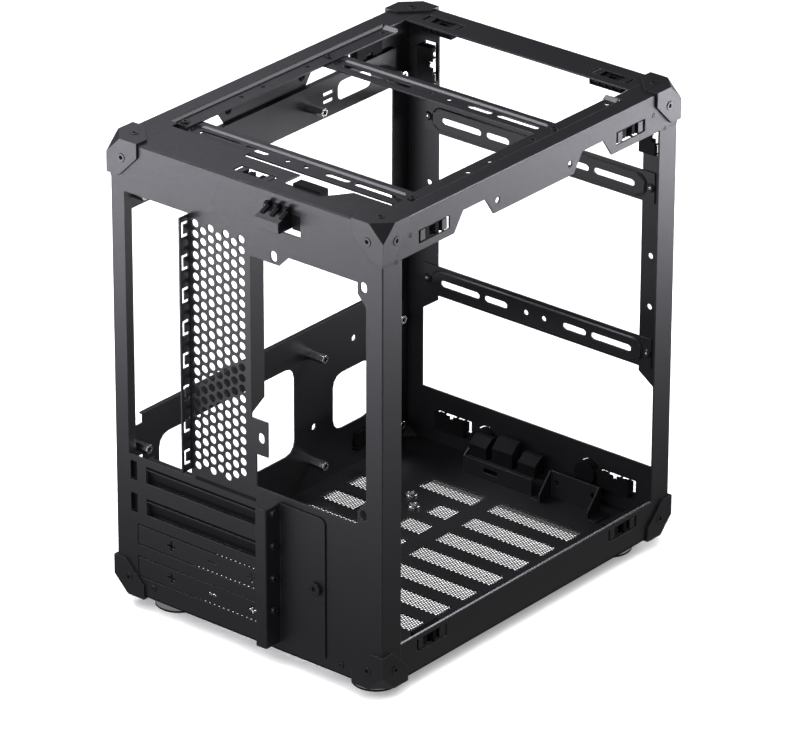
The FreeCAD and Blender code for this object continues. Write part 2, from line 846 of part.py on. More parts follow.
def fan_bar():
    """Stamped bar along X about the origin, its flat at z = 0 to -sheet, embossed downwards."""
    half = bar_width / 2
    plate = box(-bar_end, bar_end, -half, half, -sheet, 0)
    floor = -bar_emboss_depth - sheet
    length = 2 * (bar_end - bar_flat_end)
    tub = obround("z", 0, 0, length, bar_emboss_width, floor, 0)
    hollow = obround("z", 0, 0, length - 2 * sheet, bar_emboss_width - 2 * sheet, floor + sheet, sheet)
    through = (floor - sheet, sheet)
    outer = bar_end - bar_outer_end - bar_outer_slot / 2
    inner = outer - (bar_outer_slot + bar_inner_slot) / 2 - bar_slot_gap
    cuts = [hollow]
    for side in (-1, 1):
        cuts.append(obround("z", side * outer, 0, bar_outer_slot, bar_slot_width, *through))
        cuts.append(obround("z", side * inner, 0, bar_inner_slot, bar_slot_width, *through))
        cuts.append(disc("z", side * bar_hole_place, 0, bar_hole_radius, *through))
        cuts.append(disc("z", side * bar_screw_x, 0, bar_screw_radius, *through))
    return joined([plate, tub]).cut(cuts)


def top_fan_bar(y):
    """Fan bar under the stepped seats of the two top rails."""
    bar = fan_bar()
    bar.translate(FreeCAD.Vector(0, y, frame_height - rail_step_drop - sheet))
    return bar


def front_fan_bar(z):
    """Fan bar on the inner face of the two front posts."""
    bar = fan_bar()
    bar.rotate(FreeCAD.Vector(0, 0, 0), FreeCAD.Vector(1, 0, 0), 90)
    bar.rotate(FreeCAD.Vector(0, 0, 0), FreeCAD.Vector(0, 0, 1), 180)
    bar.translate(FreeCAD.Vector(0, front_inner, z))
    return bar


def bar_screws():
    """Screws at both ends of the fan bars."""
    screws = []
    seat = frame_height - rail_step_drop
    face = front_inner - sheet
    shank = bar_screw_radius - screw_clearance
    for side in (-1, 1):
        x = side * bar_screw_x
        for y in (top_bar_rear, top_bar_front):
            head = disc("z", x, y, bar_screw_head, seat, seat + bar_screw_height, screw_sides)
            stem = disc("z", x, y, shank, seat - 3 * sheet, seat)
            screws.append(joined([head, stem]))
        for z in (front_bar_low, front_bar_high):
            head = disc("y", x, z, bar_screw_head, face - bar_screw_height, face, screw_sides)
            stem = disc("y", x, z, shank, face, half_d)
            screws.append(joined([head, stem]))
    return screws


def tray_upper():
    """Upper strip of the board tray, hung by its folded edge under the left top rail."""
    front = column_front + tray_front_margin
    low = row_high - tray_upper_margin
    plate = box(tray_face - sheet, tray_face, rear_face + tray_upper_rear_gap, front, low, rail_low)
    fold = box(-half_w + sheet, tray_face, rear_face + post_side, front, rail_low - sheet, rail_low)
    hanger = box(-half_w, -half_w + sheet, rear_face + post_side, half_d - post_side, rail_low - sheet,
                 rail_low)
    through = (tray_face - 2 * sheet, tray_face + sheet)
    rear_gap, front_gap, below, above = tray_upper_window
    cuts = [rounded_slab("x", column_middle + rear_gap, column_front - front_gap, row_high - below,
                         row_high + above, tray_corner / 2, *through)]
    for place in tray_upper_slots:
        y = column_middle + place
        cuts.append(slab("x", y - sheet, y + sheet, row_high - below, row_high + tray_upper_slot_rise,
                         *through))
    return joined([plate, fold, hanger]).cut(cuts)


def tray_lower():
    """Lower board tray with two round-cornered windows, a hemmed top edge and room for the floor clips."""
    inner = tray_face - sheet
    high = row_middle + tray_lower_margin
    rear = rear_face + tray_lower_rear_gap
    front = column_front + tray_front_margin
    pieces = [
        box(inner, tray_face, rear, front, sheet, high),
        box(inner, tray_face, rear_inner, rear, row_middle - tray_strap_below,
            row_middle + tray_strap_above),
        box(inner, tray_face, rear_inner, rear, tray_foot_low, row_low + tray_foot_rise),
        box(tray_face - tray_hem, inner, rear, front, high - sheet, high),
    ]
    through = (tray_face - 2 * sheet, tray_face + sheet)
    cuts = []
    for start, end, gaps in ((rear, column_middle, tray_window_rear),
                             (column_middle, column_front, tray_window_front)):
        near, far, below, above = gaps
        cuts.append(rounded_slab("x", start + near, end - far, row_low + below, row_middle - above,
                                 tray_corner, *through))
    length = clip_length / 2 + clip_clearance
    width = clip_width / 2 + clip_rim + clip_clearance
    for y in both_sides(side_clip_y):
        cuts.append(slab("x", y - length, y + length, floor_clip_z - width, floor_clip_z + width, *through))
    holes = [(column_middle + tray_hole_upper[0], row_middle - tray_hole_upper[1]),
             (column_middle + tray_hole_lower[0], row_low + tray_hole_lower[1])]
    cuts += [disc("x", y, z, tray_hole_radius, *through) for y, z in holes]
    return joined(pieces).cut(cuts)


def standoff_places():
    columns = (column_rear, column_middle, column_front)
    return [(y, z) for y in columns for z in (row_high, row_middle, row_low)]


def standoffs():
    """Hexagonal threaded standoffs for the board."""
    solids = []
    for y, z in standoff_places():
        outline = polygon(y, z, standoff_across / sqrt(3), 6)
        body = prism("x", outline, tray_face, tray_face + standoff_length)
        bore = drilled("x", y, z, standoff_bore, tray_face - sheet, tray_face + 2 * standoff_length)
        solids.append(body.cut(bore))
    return solids


def drive_support():
    """Folded support on the floor: an upright plate between two sloping wings with feet."""
    right = support_left + support_width
    back = support_front + support_depth
    top = sheet + support_height
    plate = box(support_left, right, back - sheet, back, sheet, top)
    outline = [(support_front, sheet), (back, sheet), (back, top), (back - 2 * sheet, top),
               (support_front, sheet + support_wing)]
    wings = [prism("x", outline, support_left, support_left + sheet),
             prism("x", outline, right - sheet, right)]
    feet = [box(support_left - support_foot, support_left, support_front, back, sheet, 2 * sheet),
            box(right, right + support_foot, support_front, back, sheet, 2 * sheet)]
    middle = sheet + support_height * 0.6
    holes = [disc("y", x, middle, rail_tab_radius, back - 2 * sheet, back + sheet)
             for x in (support_left + support_wing, right - support_wing)]
    return joined([plate] + wings + feet).cut(holes)


def port_bracket():
    """Folded bracket along the front wall that carries the front sockets."""
    right = ports_left + ports_width
    back = ports_front + ports_shelf
    top = sheet + ports_height
    upright = box(ports_left, right, ports_front, ports_front + sheet, sheet, top)
    shelf = box(ports_left, right, ports_front, back, top - sheet, top)
    foot = box(ports_left, right, ports_front, back, sheet, 2 * sheet)
    gusset = prism("x", [(ports_front, top), (back, top), (back, top + ports_gusset)], ports_left,
                   ports_left + sheet)
    window = slab("y", ports_left + 0.3 * ports_width, ports_left + 0.5 * ports_width,
                  sheet + ports_height * 0.4, sheet + ports_height * 0.7, ports_front - sheet,
                  ports_front + 2 * sheet)
    return joined([upright, shelf, foot, gusset]).cut(window)


def port_housings():
    """Moulded socket housings that stand on the shelf of their bracket, against the front wall."""
    housings = []
    left = ports_left + 2 * sheet
    floor = sheet + ports_height
    back = ports_front + ports_shelf
    for width, height in zip(housing_widths, housing_heights):
        front = back - housing_depth
        shoulder = floor + height * 0.8
        outline = [(front, floor), (back, floor), (back, shoulder), (back - housing_depth / 3, shoulder),
                   (front, floor + height * 0.5)]
        housings.append(prism("x", outline, left, left + width))
        left += width + housing_gap
    return housings


def panel_clip():
    """Moulded clip behind a window about the origin: long in X, facing +Z, open along its -Y edge."""
    half = clip_length / 2 - clip_slit
    edge = clip_width / 2
    back = clip_wall - clip_depth
    outline = [(edge + clip_rim, 0), (edge, 0), (edge, back), (-edge, back), (-edge, -clip_depth),
               (edge + clip_rim, -clip_depth)]
    pieces = [prism("x", outline, -half, half)]
    reach = edge - clip_pad_gap
    for side in (-1, 1):
        pieces.append(box(side * (half - clip_pad_length), side * half, -reach, reach, back,
                          sheet - clip_pad_sink))
    return joined(pieces)


def panel_clips():
    """Clips behind every window: place, way from the open edge to the rim, and way out of the sheet."""
    up = (0, 0, 1)
    front = (0, 1, 0)
    top = frame_height - sheet
    places = [((rear_clip_x, rear_face + rear_clip_inset, top), (0, -1, 0), up)]
    for side in (-1, 1):
        out = (side, 0, 0)
        wall = side * (half_w - sheet)
        for y in both_sides(side_clip_y):
            places.append(((wall, y, frame_height - top_clip_drop), up, out))
            places.append(((wall, y, floor_clip_z), up, out))
        places.append(((side * front_clip_x, front_inner, front_wall_clip_z), (0, 0, -1), front))
        places.append(((side * post_clip_x, front_inner, post_clip_z), out, front))
        places.append(((side * front_clip_x, half_d - front_clip_inset, top), front, up))
    return [placed_clip(*place) for place in places]


def placed_clip(place, rim, out):
    rim = FreeCAD.Vector(*rim)
    out = FreeCAD.Vector(*out)
    clip = panel_clip()
    turn = FreeCAD.Rotation(rim.cross(out), rim, out, "ZXY")
    clip.Placement = FreeCAD.Placement(FreeCAD.Vector(*place), turn)
    return clip


def corner_bracket():
    """Bracket of the upper right front corner: three plates, a facet across the tip, and trimmed ends."""
    tip = FreeCAD.Vector(half_w + bracket_proud, half_d + bracket_proud, frame_height + bracket_proud)
    inward = [(-1, 0, 0), (0, -1, 0), (0, 0, -1)]
    size = bracket_size
    block = box(tip.x - size, tip.x, tip.y - size, tip.y, tip.z - size, tip.z)
    block = block.cut(tetrahedron(tip, inward, bracket_facet))
    inner = box(tip.x - 2 * size, half_w, tip.y - 2 * size, half_d, tip.z - 2 * size, frame_height)
    reach = bracket_facet + bracket_proud * (sqrt(3) - 3)
    seat = FreeCAD.Vector(half_w, half_d, frame_height)
    inner = inner.cut(tetrahedron(seat, inward, reach))
    far = size - bracket_trim
    trims = []
    for axis, u, v, w in (("x", tip.y, tip.z, tip.x), ("y", tip.x, tip.z, tip.y),
                          ("z", tip.x, tip.y, tip.z)):
        outline = [(u - size, v - size), (u - size + far, v - size), (u - size, v - size + far)]
        trims.append(prism(axis, outline, w - bracket_proud, w))
    return block.cut([inner] + trims)


def corner_brackets():
    """The eight corner brackets, mirrored from one."""
    middle = FreeCAD.Vector(0, 0, frame_height / 2)
    shapes = {}
    for level, flip_z in (("top", False), ("bottom", True)):
        for end, flip_y in (("front", False), ("rear", True)):
            for side, flip_x in (("right", False), ("left", True)):
                bracket = corner_bracket()
                for flip, normal in ((flip_x, (1, 0, 0)), (flip_y, (0, 1, 0)), (flip_z, (0, 0, 1))):
                    if flip:
                        bracket = bracket.mirror(middle, FreeCAD.Vector(*normal))
                shapes[f"corner_{level}_{end}_{side}"] = bracket
    return shapes


def corner_screws():
    """Flat heads of the screws that hold each plate of the corner brackets."""
    heads = []
    place_x = half_w + bracket_proud - bracket_screw
    place_y = half_d + bracket_proud - bracket_screw
    place_z = bracket_screw - bracket_proud
    for sx in (-1, 1):
        for sy in (-1, 1):
            for z, face, out in ((place_z, -bracket_proud, -1),
                                 (frame_height - place_z, frame_height + bracket_proud, 1)):
                spots = (("x", sy * place_y, z, sx * (half_w + bracket_proud), sx),
                         ("y", sx * place_x, z, sy * (half_d + bracket_proud), sy),
                         ("z", sx * place_x, sy * place_y, face, out))
                for axis, u, v, w, way in spots:
                    low, high = sorted((w, w + way * corner_screw_height))
                    heads.append(disc(axis, u, v, corner_screw_radius, low, high, screw_sides))
    return heads


def foot_places():
    x = half_w - foot_inset_x
    y = half_d - foot_inset_y
    return [(-x, -y), (-x, y), (x, -y), (x, y)]


def feet():
    """Turned feet under the floor, each with a neck and a wide base."""
    low = foot_pad_height - foot_height
    solids = []
    for x, y in foot_places():
        neck = disc("z", x, y, foot_neck, -foot_neck_height, 0, turned_sides)
        base = disc("z", x, y, foot_radius, low, -foot_neck_height, turned_sides)
        solids.append(joined([neck, base]))
    return solids


def foot_pads():
    """Rubber pads that the feet stand on."""
    radius = foot_radius - foot_pad_inset
    top = foot_pad_height - foot_height
    return [disc("z", x, y, radius, -foot_height, top, turned_sides) for x, y in foot_places()]


def write(name, shape):
    solids = shape if isinstance(shape, list) else [shape]
    moved = [solid.translated(shift) for solid in solids]
    result = moved[0] if len(moved) == 1 else Part.makeCompound(moved)
    result.exportStep(os.path.join("parts", name + ".step"))


def main():
    os.makedirs("parts", exist_ok=True)
    right_rail = top_rail()
    pieces = {
        "rear_panel": rear_panel(),
        "slot_cover_1": slot_cover(0),
        "slot_cover_2": slot_cover(1),
        "slot_retainer": slot_retainer(),
        "slot_screws": slot_screws(),
        "retainer_screw": retainer_screw(),
        "rear_catch": rear_catch(),
        "top_rail_right": right_rail,
        "top_rail_left": mirrored_x(right_rail),
        "front_frame": front_frame(),
        "floor_pan": floor_pan(),
        "floor_grommets": floor_grommets(),
        "top_fan_bar_rear": top_fan_bar(top_bar_rear),
        "top_fan_bar_front": top_fan_bar(top_bar_front),
        "front_fan_bar_lower": front_fan_bar(front_bar_low),
        "front_fan_bar_upper": front_fan_bar(front_bar_high),
        "bar_screws": bar_screws(),
        "tray_upper": tray_upper(),
        "tray_lower": tray_lower(),
        "standoffs": standoffs(),
        "drive_support": drive_support(),
        "port_bracket": port_bracket(),
        "port_housings": port_housings(),
        "panel_clips": panel_clips(),
        "corner_screws": corner_screws(),
        "feet": feet(),
        "foot_pads": foot_pads(),
    }
    pieces.update(corner_brackets())
    for name, shape in pieces.items():
        write(name, shape)


main()
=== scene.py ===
import json
from math import cos, pi, radians, sin, sqrt

import bmesh
import bpy
from mathutils import Matrix, Vector


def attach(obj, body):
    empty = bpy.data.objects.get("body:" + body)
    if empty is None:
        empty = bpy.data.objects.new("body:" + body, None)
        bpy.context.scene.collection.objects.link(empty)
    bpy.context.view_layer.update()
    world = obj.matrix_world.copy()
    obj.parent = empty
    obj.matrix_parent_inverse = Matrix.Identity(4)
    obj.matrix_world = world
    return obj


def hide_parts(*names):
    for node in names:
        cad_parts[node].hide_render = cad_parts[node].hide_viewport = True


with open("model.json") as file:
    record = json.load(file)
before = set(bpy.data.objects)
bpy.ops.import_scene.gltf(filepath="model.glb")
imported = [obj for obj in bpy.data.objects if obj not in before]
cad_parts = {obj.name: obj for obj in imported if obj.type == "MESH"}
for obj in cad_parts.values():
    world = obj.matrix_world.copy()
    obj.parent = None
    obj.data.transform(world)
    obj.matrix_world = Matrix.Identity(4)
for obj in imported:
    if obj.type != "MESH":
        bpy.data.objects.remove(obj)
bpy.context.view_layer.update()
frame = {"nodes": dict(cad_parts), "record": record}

# Places below are millimetres in the sheet frame: its middle in X and Y, its lower edge at z = 0.
MM = 0.001
SHEET_FRAME = Vector((0.0, 5.75, 12.1))
HALF_W = 98.6
HALF_D = 131.1
HEIGHT = 281.4
SHEET = 1.0
RAIL_RUN = 114.9
RAIL_HEIGHT = 23.3
RAIL_HOLES_Y = (-32.2, 32.2)
RAIL_HOLES_Z = HEIGHT - 16.4
SEAT_DROP = 2.0
TOP_BARS_Y = (-86.2, 38.3)
TOP_BAR_FACE = HEIGHT - SEAT_DROP - SHEET
FRONT_BARS_Z = (108.3, 213.3)
FRONT_BAR_FACE = HALF_D - SHEET
BAR_SCREW_X = 82.3
BAR_HEAD = 1.2
BAR_EMBOSS = (158.0, 13.6)
BAR_DEPTH = 1.2
SLOT_PITCH = 20.32
SLOT_LOWEST = 17.54
SLOT_COUNT = 4
SLOT_TOP = SLOT_LOWEST + (SLOT_COUNT - 1) * SLOT_PITCH


def place(x, y, z):
    """Place in metres of a point of the sheet frame."""
    return (Vector((x, y, z)) + SHEET_FRAME) * MM


def along_depth(u, v, w):
    """Place of an outline's point in X and Z, for a form that runs along Y."""
    return place(u, w, v)


def along_width(u, v, w):
    """Place of an outline's point in Y and Z, for a form that runs along X."""
    return place(w, u, v)


def mirrored(a, b, side):
    """Span from a to b, or the same span on the other side of the middle."""
    return tuple(sorted((side * a, side * b)))


# Finishes, with lengths in metres


EDGE_RADIUS = 0.00045
EDGE_GAIN = 12.0
FLECK_SHARE = 0.32
POLISH_SHARE = 0.45
GRAIN_DEPTH = 0.0002
# Colour of lightened edges: part worn paint, part a painted highlight where edges catch the light.
EDGE_WEAR_AND_HIGHLIGHT_PAINT = (0.16, 0.16, 0.165)


def new_group(name, inputs, outputs):
    """Shader group with its named sockets; returns the group and its two end nodes."""
    group = bpy.data.node_groups.new(name, "ShaderNodeTree")
    for label, kind, value in inputs:
        socket = group.interface.new_socket(label, in_out="INPUT", socket_type=kind)
        socket.default_value = value
    for label, kind in outputs:
        group.interface.new_socket(label, in_out="OUTPUT", socket_type=kind)
    return group, group.nodes.new("NodeGroupInput"), group.nodes.new("NodeGroupOutput")


def math_node(tree, operation, a, b=0.0, clamp=False):
    node = tree.nodes.new("ShaderNodeMath")
    node.operation = operation
    node.use_clamp = clamp
    for socket, value in zip(node.inputs, (a, b)):
        if isinstance(value, (int, float)):
            socket.default_value = value
        else:
            tree.links.new(value, socket)
    return node.outputs[0]


def noise(tree, vector, scale, detail=2.0, roughness=0.5):
    node = tree.nodes.new("ShaderNodeTexNoise")
    tree.links.new(vector, node.inputs["Vector"])
    node.inputs["Detail"].default_value = detail
    node.inputs["Roughness"].default_value = roughness
    tree.links.new(scale, node.inputs["Scale"])
    return node.outputs["Fac"]


def powder_grain_group():
    """Fine pebbled skin of a powder coat, with a slow change of tone over the sheet."""
    group, enter, leave = new_group(
        "Powder grain",
        [("Grain Scale", "NodeSocketFloat", 1400.0), ("Mottle Scale", "NodeSocketFloat", 18.0)],
        [("Height", "NodeSocketFloat"), ("Mottle", "NodeSocketFloat"), ("Fleck", "NodeSocketFloat")])
    where = group.nodes.new("ShaderNodeTexCoord").outputs["Object"]
    fine = noise(group, where, enter.outputs["Grain Scale"], detail=1.0)
    slow = noise(group, where, enter.outputs["Mottle Scale"], detail=3.0, roughness=0.6)
    fleck_scale = math_node(group, "MULTIPLY", enter.outputs["Grain Scale"], FLECK_SHARE)
    fleck = noise(group, where, fleck_scale)
    group.links.new(fine, leave.inputs["Height"])
    group.links.new(slow, leave.inputs["Mottle"])
    group.links.new(fleck, leave.inputs["Fleck"])
    return group


def soft_edge_group():
    """Rounded normal along sharp edges, and a mask of where the edge is lightened, as worn paint and as a
    painted highlight.
    """
    group, enter, leave = new_group(
        "Soft edge",
        [("Rub Amount", "NodeSocketFloat", 0.6), ("Rub Scale", "NodeSocketFloat", 160.0)],
        [("Normal", "NodeSocketVector"), ("Edge Wear And Highlight", "NodeSocketFloat")])
    bevel = group.nodes.new("ShaderNodeBevel")
    bevel.samples = 4
    bevel.inputs["Radius"].default_value = EDGE_RADIUS
    shape = group.nodes.new("ShaderNodeNewGeometry")
    dot = group.nodes.new("ShaderNodeVectorMath")
    dot.operation = "DOT_PRODUCT"
    group.links.new(bevel.outputs[0], dot.inputs[0])
    group.links.new(shape.outputs["Normal"], dot.inputs[1])
    turned = math_node(group, "SUBTRACT", 1.0, dot.outputs["Value"])
    bend = math_node(group, "MULTIPLY", turned, EDGE_GAIN, True)
    where = group.nodes.new("ShaderNodeTexCoord").outputs["Object"]
    patch = noise(group, where, enter.outputs["Rub Scale"], detail=3.0)
    patch = math_node(group, "MULTIPLY", patch, enter.outputs["Rub Amount"])
    group.links.new(bevel.outputs[0], leave.inputs["Normal"])
    group.links.new(math_node(group, "MULTIPLY", bend, patch, True), leave.inputs["Edge Wear And Highlight"])
    return group


def mix_colour(tree, factor, first, second):
    node = tree.nodes.new("ShaderNodeMix")
    node.data_type = "RGBA"
    tree.links.new(factor, node.inputs[0])
    for socket, value in ((node.inputs[6], first), (node.inputs[7], second)):
        if isinstance(value, tuple):
            socket.default_value = (*value, 1.0)
        else:
            tree.links.new(value, socket)
    return node.outputs[2]


def group_node(tree, group, **values):
    node = tree.nodes.new("ShaderNodeGroup")
    node.node_tree = group
    for name, value in values.items():
        node.inputs[name.replace("_", " ")].default_value = value
    return node


def coated(name, dark, light, edge_wear_and_highlight, roughness, grain=1400.0, bump=0.12, spread=0.14, edge_wear_and_highlight_amount=0.6,
           metallic=0.0, specular=0.5):
    """Grained finish whose tone drifts between two colours and lightens on its edges, as worn paint and as a
    painted highlight.
    """
    material = bpy.data.materials.new(name)
    material.use_nodes = True
    tree = material.node_tree
    shader = tree.nodes["Principled BSDF"]
    shader.inputs["Metallic"].default_value = metallic
    shader.inputs["Specular IOR Level"].default_value = specular
    skin = group_node(tree, POWDER_GRAIN, Grain_Scale=grain)
    edge = group_node(tree, SOFT_EDGE, Rub_Amount=edge_wear_and_highlight_amount)
    tone = mix_colour(tree, skin.outputs["Mottle"], dark, light)
    tree.links.new(mix_colour(tree, edge.outputs["Edge Wear And Highlight"], tone, edge_wear_and_highlight), shader.inputs["Base Color"])
    gloss = math_node(tree, "MULTIPLY_ADD", skin.outputs["Fleck"], spread)
    gloss.node.inputs[2].default_value = roughness - spread / 2
    polish = math_node(tree, "MULTIPLY", edge.outputs["Edge Wear And Highlight"], POLISH_SHARE * roughness)
    tree.links.new(math_node(tree, "SUBTRACT", gloss, polish), shader.inputs["Roughness"])
    relief = tree.nodes.new("ShaderNodeBump")
    relief.inputs["Strength"].default_value = bump
    relief.inputs["Distance"].default_value = GRAIN_DEPTH
    tree.links.new(skin.outputs["Height"], relief.inputs["Height"])
    tree.links.new(edge.outputs["Normal"], relief.inputs["Normal"])
    tree.links.new(relief.outputs[0], shader.inputs["Normal"])
    return material


def all_finishes():
    """Finish of every slot, and two for rims and bends that catch more light: glossier copies of the frame
    paint, made lighter as a painted highlight.
    """
    looks = {
        "frame_paint": dict(dark=(0.027, 0.027, 0.0295), light=(0.033, 0.033, 0.036), edge_wear_and_highlight=EDGE_WEAR_AND_HIGHLIGHT_PAINT,
                            roughness=0.42, edge_wear_and_highlight_amount=1.0),
        "bracket_paint": dict(dark=(0.025, 0.025, 0.0272), light=(0.031, 0.031, 0.0335), edge_wear_and_highlight=EDGE_WEAR_AND_HIGHLIGHT_PAINT,
                              roughness=0.4, edge_wear_and_highlight_amount=1.0),
        "black_moulding": dict(dark=(0.012, 0.012, 0.013), light=(0.016, 0.016, 0.017),
                               edge_wear_and_highlight=(0.03, 0.03, 0.031), roughness=0.62, grain=2200.0, bump=0.2,
                               specular=0.16),
        "black_screw": dict(dark=(0.02, 0.02, 0.021), light=(0.03, 0.03, 0.031), edge_wear_and_highlight=(0.12, 0.12, 0.12),
                            roughness=0.36, grain=3000.0, bump=0.05),
        "nickel": dict(dark=(0.6, 0.59, 0.57), light=(0.74, 0.73, 0.71), edge_wear_and_highlight=(0.8, 0.79, 0.77),
                       roughness=0.24, grain=4000.0, bump=0.04, metallic=1.0),
        "foot_metal": dict(dark=(0.66, 0.66, 0.68), light=(0.76, 0.76, 0.78), edge_wear_and_highlight=(0.85, 0.85, 0.86),
                           roughness=0.26, grain=2600.0, bump=0.05, metallic=1.0),
        "rubber": dict(dark=(0.018, 0.018, 0.018), light=(0.03, 0.03, 0.03), edge_wear_and_highlight=(0.05, 0.05, 0.05),
                       roughness=0.7, grain=900.0, bump=0.3, specular=0.2),
        # Rims: the frame paint made lighter, as a painted highlight, and glossier.
        "rim_highlight_paint": dict(dark=(0.05, 0.05, 0.053), light=(0.06, 0.06, 0.063), edge_wear_and_highlight=EDGE_WEAR_AND_HIGHLIGHT_PAINT,
                          roughness=0.16, bump=0.05, spread=0.06, specular=1.0),
        # Bends: the frame paint made slightly lighter, as a painted highlight, and glossier.
        "bend_highlight_paint": dict(dark=(0.03, 0.03, 0.0325), light=(0.037, 0.037, 0.04), edge_wear_and_highlight=EDGE_WEAR_AND_HIGHLIGHT_PAINT,
                           roughness=0.3, bump=0.08, spread=0.08),
    }
    return {name: coated(name, **look) for name, look in looks.items()}


POWDER_GRAIN = powder_grain_group()
SOFT_EDGE = soft_edge_group()
FINISHES = all_finishes()


# Meshes


def finished(name, mesh, slot, *nodes):
    """Puts a mesh in the scene as a piece of the object, in its own finish or else its slot's."""
    piece = bpy.data.objects.new(name, mesh)
    bpy.context.scene.collection.objects.link(piece)
    if not mesh.materials:
        mesh.materials.append(FINISHES[slot])
    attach(piece, "root")
    if nodes:
        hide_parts(*nodes)
    return piece


def spun(profile, x, y, bm, steps=64):
    """Adds a turned form about an upright axis at (x, y); profile holds (radius, z) points."""
    rings = []
    for radius, z in profile:
        if radius == 0:
            rings.append([bm.verts.new(place(x, y, z))])
            continue
        turns = [2 * pi * i / steps for i in range(steps)]
        rings.append([bm.verts.new(place(x + radius * cos(a), y + radius * sin(a), z)) for a in turns])
    for upper, lower in zip(rings, rings[1:]):
        for i in range(steps):
            j = (i + 1) % steps
            corners = [upper[i % len(upper)], lower[i % len(lower)],
                       lower[j % len(lower)], upper[j % len(upper)]]
            face = bm.faces.new(list(dict.fromkeys(corners)))
            face.smooth = True


def sharpened(mesh, angle=35.0):
    """Keeps edges crisp where the surface turns more than the angle."""
    bm = bmesh.new()
    bm.from_mesh(mesh)
    for edge in bm.edges:
        edge.smooth = len(edge.link_faces) == 2 and edge.calc_face_angle(0.0) < radians(angle)
    bm.to_mesh(mesh)
    bm.free()
    return mesh


def cell_sheet(bm, us, vs, holes, point, thickness):
    """Adds a flat sheet cut by rectangular holes; point maps (u, v, w) to its place, with w its depth."""
    us = sorted(set(us) | {u for hole in holes for u in hole[:2]})
    vs = sorted(set(vs) | {v for hole in holes for v in hole[2:]})
    solid = {}
    for i in range(len(us) - 1):
        for j in range(len(vs) - 1):
            u = (us[i] + us[i + 1]) / 2
            v = (vs[j] + vs[j + 1]) / 2
            solid[i, j] = not any(a < u < b and c < v < d for a, b, c, d in holes)
    corner = {}

    def vertex(i, j, w):
        key = (i, j, w)
        if key not in corner:
            corner[key] = bm.verts.new(point(us[i], vs[j], w))
        return corner[key]

    for (i, j), full in solid.items():
        if not full:
            continue
        for w in (0.0, thickness):
            corners = ((i, j), (i + 1, j), (i + 1, j + 1), (i, j + 1))
            bm.faces.new([vertex(*at, w) for at in corners])
        sides = (((i - 1, j), (i, j), (i, j + 1)), ((i + 1, j), (i + 1, j), (i + 1, j + 1)),
                 ((i, j - 1), (i, j), (i + 1, j)), ((i, j + 1), (i, j + 1), (i + 1, j + 1)))
        for beyond, a, b in sides:
            if not solid.get(beyond, False):
                wall = ((*a, 0.0), (*b, 0.0), (*b, thickness), (*a, thickness))
                bm.faces.new([vertex(*at) for at in wall])


def cuboid(bm, spread, u, v, w):
    """Adds a block; u, v and w are its two ends along each way, and spread maps them to a place."""
    corners = [bm.verts.new(spread(u[i], v[j], w[k])) for i in (0, 1) for j in (0, 1) for k in (0, 1)]
    for face in ((0, 1, 3, 2), (4, 6, 7, 5), (0, 4, 5, 1), (2, 3, 7, 6), (0, 2, 6, 4), (1, 5, 7, 3)):
        bm.faces.new([corners[i] for i in face])


def extruded(bm, outline, spread, w):
    """Adds a prism of (u, v) points between the two ends of w."""
    ends = [[bm.verts.new(spread(u, v, level)) for u, v in outline] for level in w]
    for ring in ends:
        bm.faces.new(ring)
    for i in range(len(outline)):
        j = (i + 1) % len(outline)
        bm.faces.new([ends[0][i], ends[0][j], ends[1][j], ends[1][i]])


def mesh_from(bm, name):
    """Closes a build: faces turned outwards, and the result kept as a mesh."""
    bmesh.ops.recalc_face_normals(bm, faces=bm.faces)
    mesh = bpy.data.meshes.new(name)
    bm.to_mesh(mesh)
    bm.free()
    return mesh


# Geometry Nodes


def new_tree(name, inputs):
    """Geometry tree with a Geometry and a Finish socket and the named sizes."""
    tree = bpy.data.node_groups.new(name, "GeometryNodeTree")
    tree.interface.new_socket("Geometry", in_out="INPUT", socket_type="NodeSocketGeometry")
    for label, value in inputs:
        socket = tree.interface.new_socket(label, in_out="INPUT", socket_type="NodeSocketFloat")
        socket.default_value = value
    tree.interface.new_socket("Finish", in_out="INPUT", socket_type="NodeSocketMaterial")
    tree.interface.new_socket("Geometry", in_out="OUTPUT", socket_type="NodeSocketGeometry")
    return tree, tree.nodes.new("NodeGroupInput"), tree.nodes.new("NodeGroupOutput")


def add(tree, kind, links=(), **settings):
    """New node with its settings; links pairs an input's name with an output or a plain value."""
    node = tree.nodes.new(kind)
    for name, value in settings.items():
        setattr(node, name, value)
    for name, value in dict(links).items():
        socket = node.inputs[name]
        if isinstance(value, bpy.types.NodeSocket):
            tree.links.new(value, socket)
        else:
            socket.default_value = value
    return node


def on_points(tree, enter, leave, shape):
    """Sets the shape on every point, turned to face out, and closes the tree."""
    facing = add(tree, "GeometryNodeInputNamedAttribute", {"Name": "facing"}, data_type="FLOAT_VECTOR")
    turn = add(tree, "FunctionNodeAlignRotationToVector", {"Vector": facing.outputs["Attribute"]}, axis="Z")
    rows = add(tree, "GeometryNodeInstanceOnPoints",
               {"Points": enter.outputs["Geometry"], "Instance": shape, "Rotation": turn.outputs[0]})
    real = add(tree, "GeometryNodeRealizeInstances", {"Geometry": rows.outputs[0]})
    done = add(tree, "GeometryNodeSetMaterial",
               {"Geometry": real.outputs[0], "Material": enter.outputs["Finish"]})
    tree.links.new(done.outputs[0], leave.inputs["Geometry"])


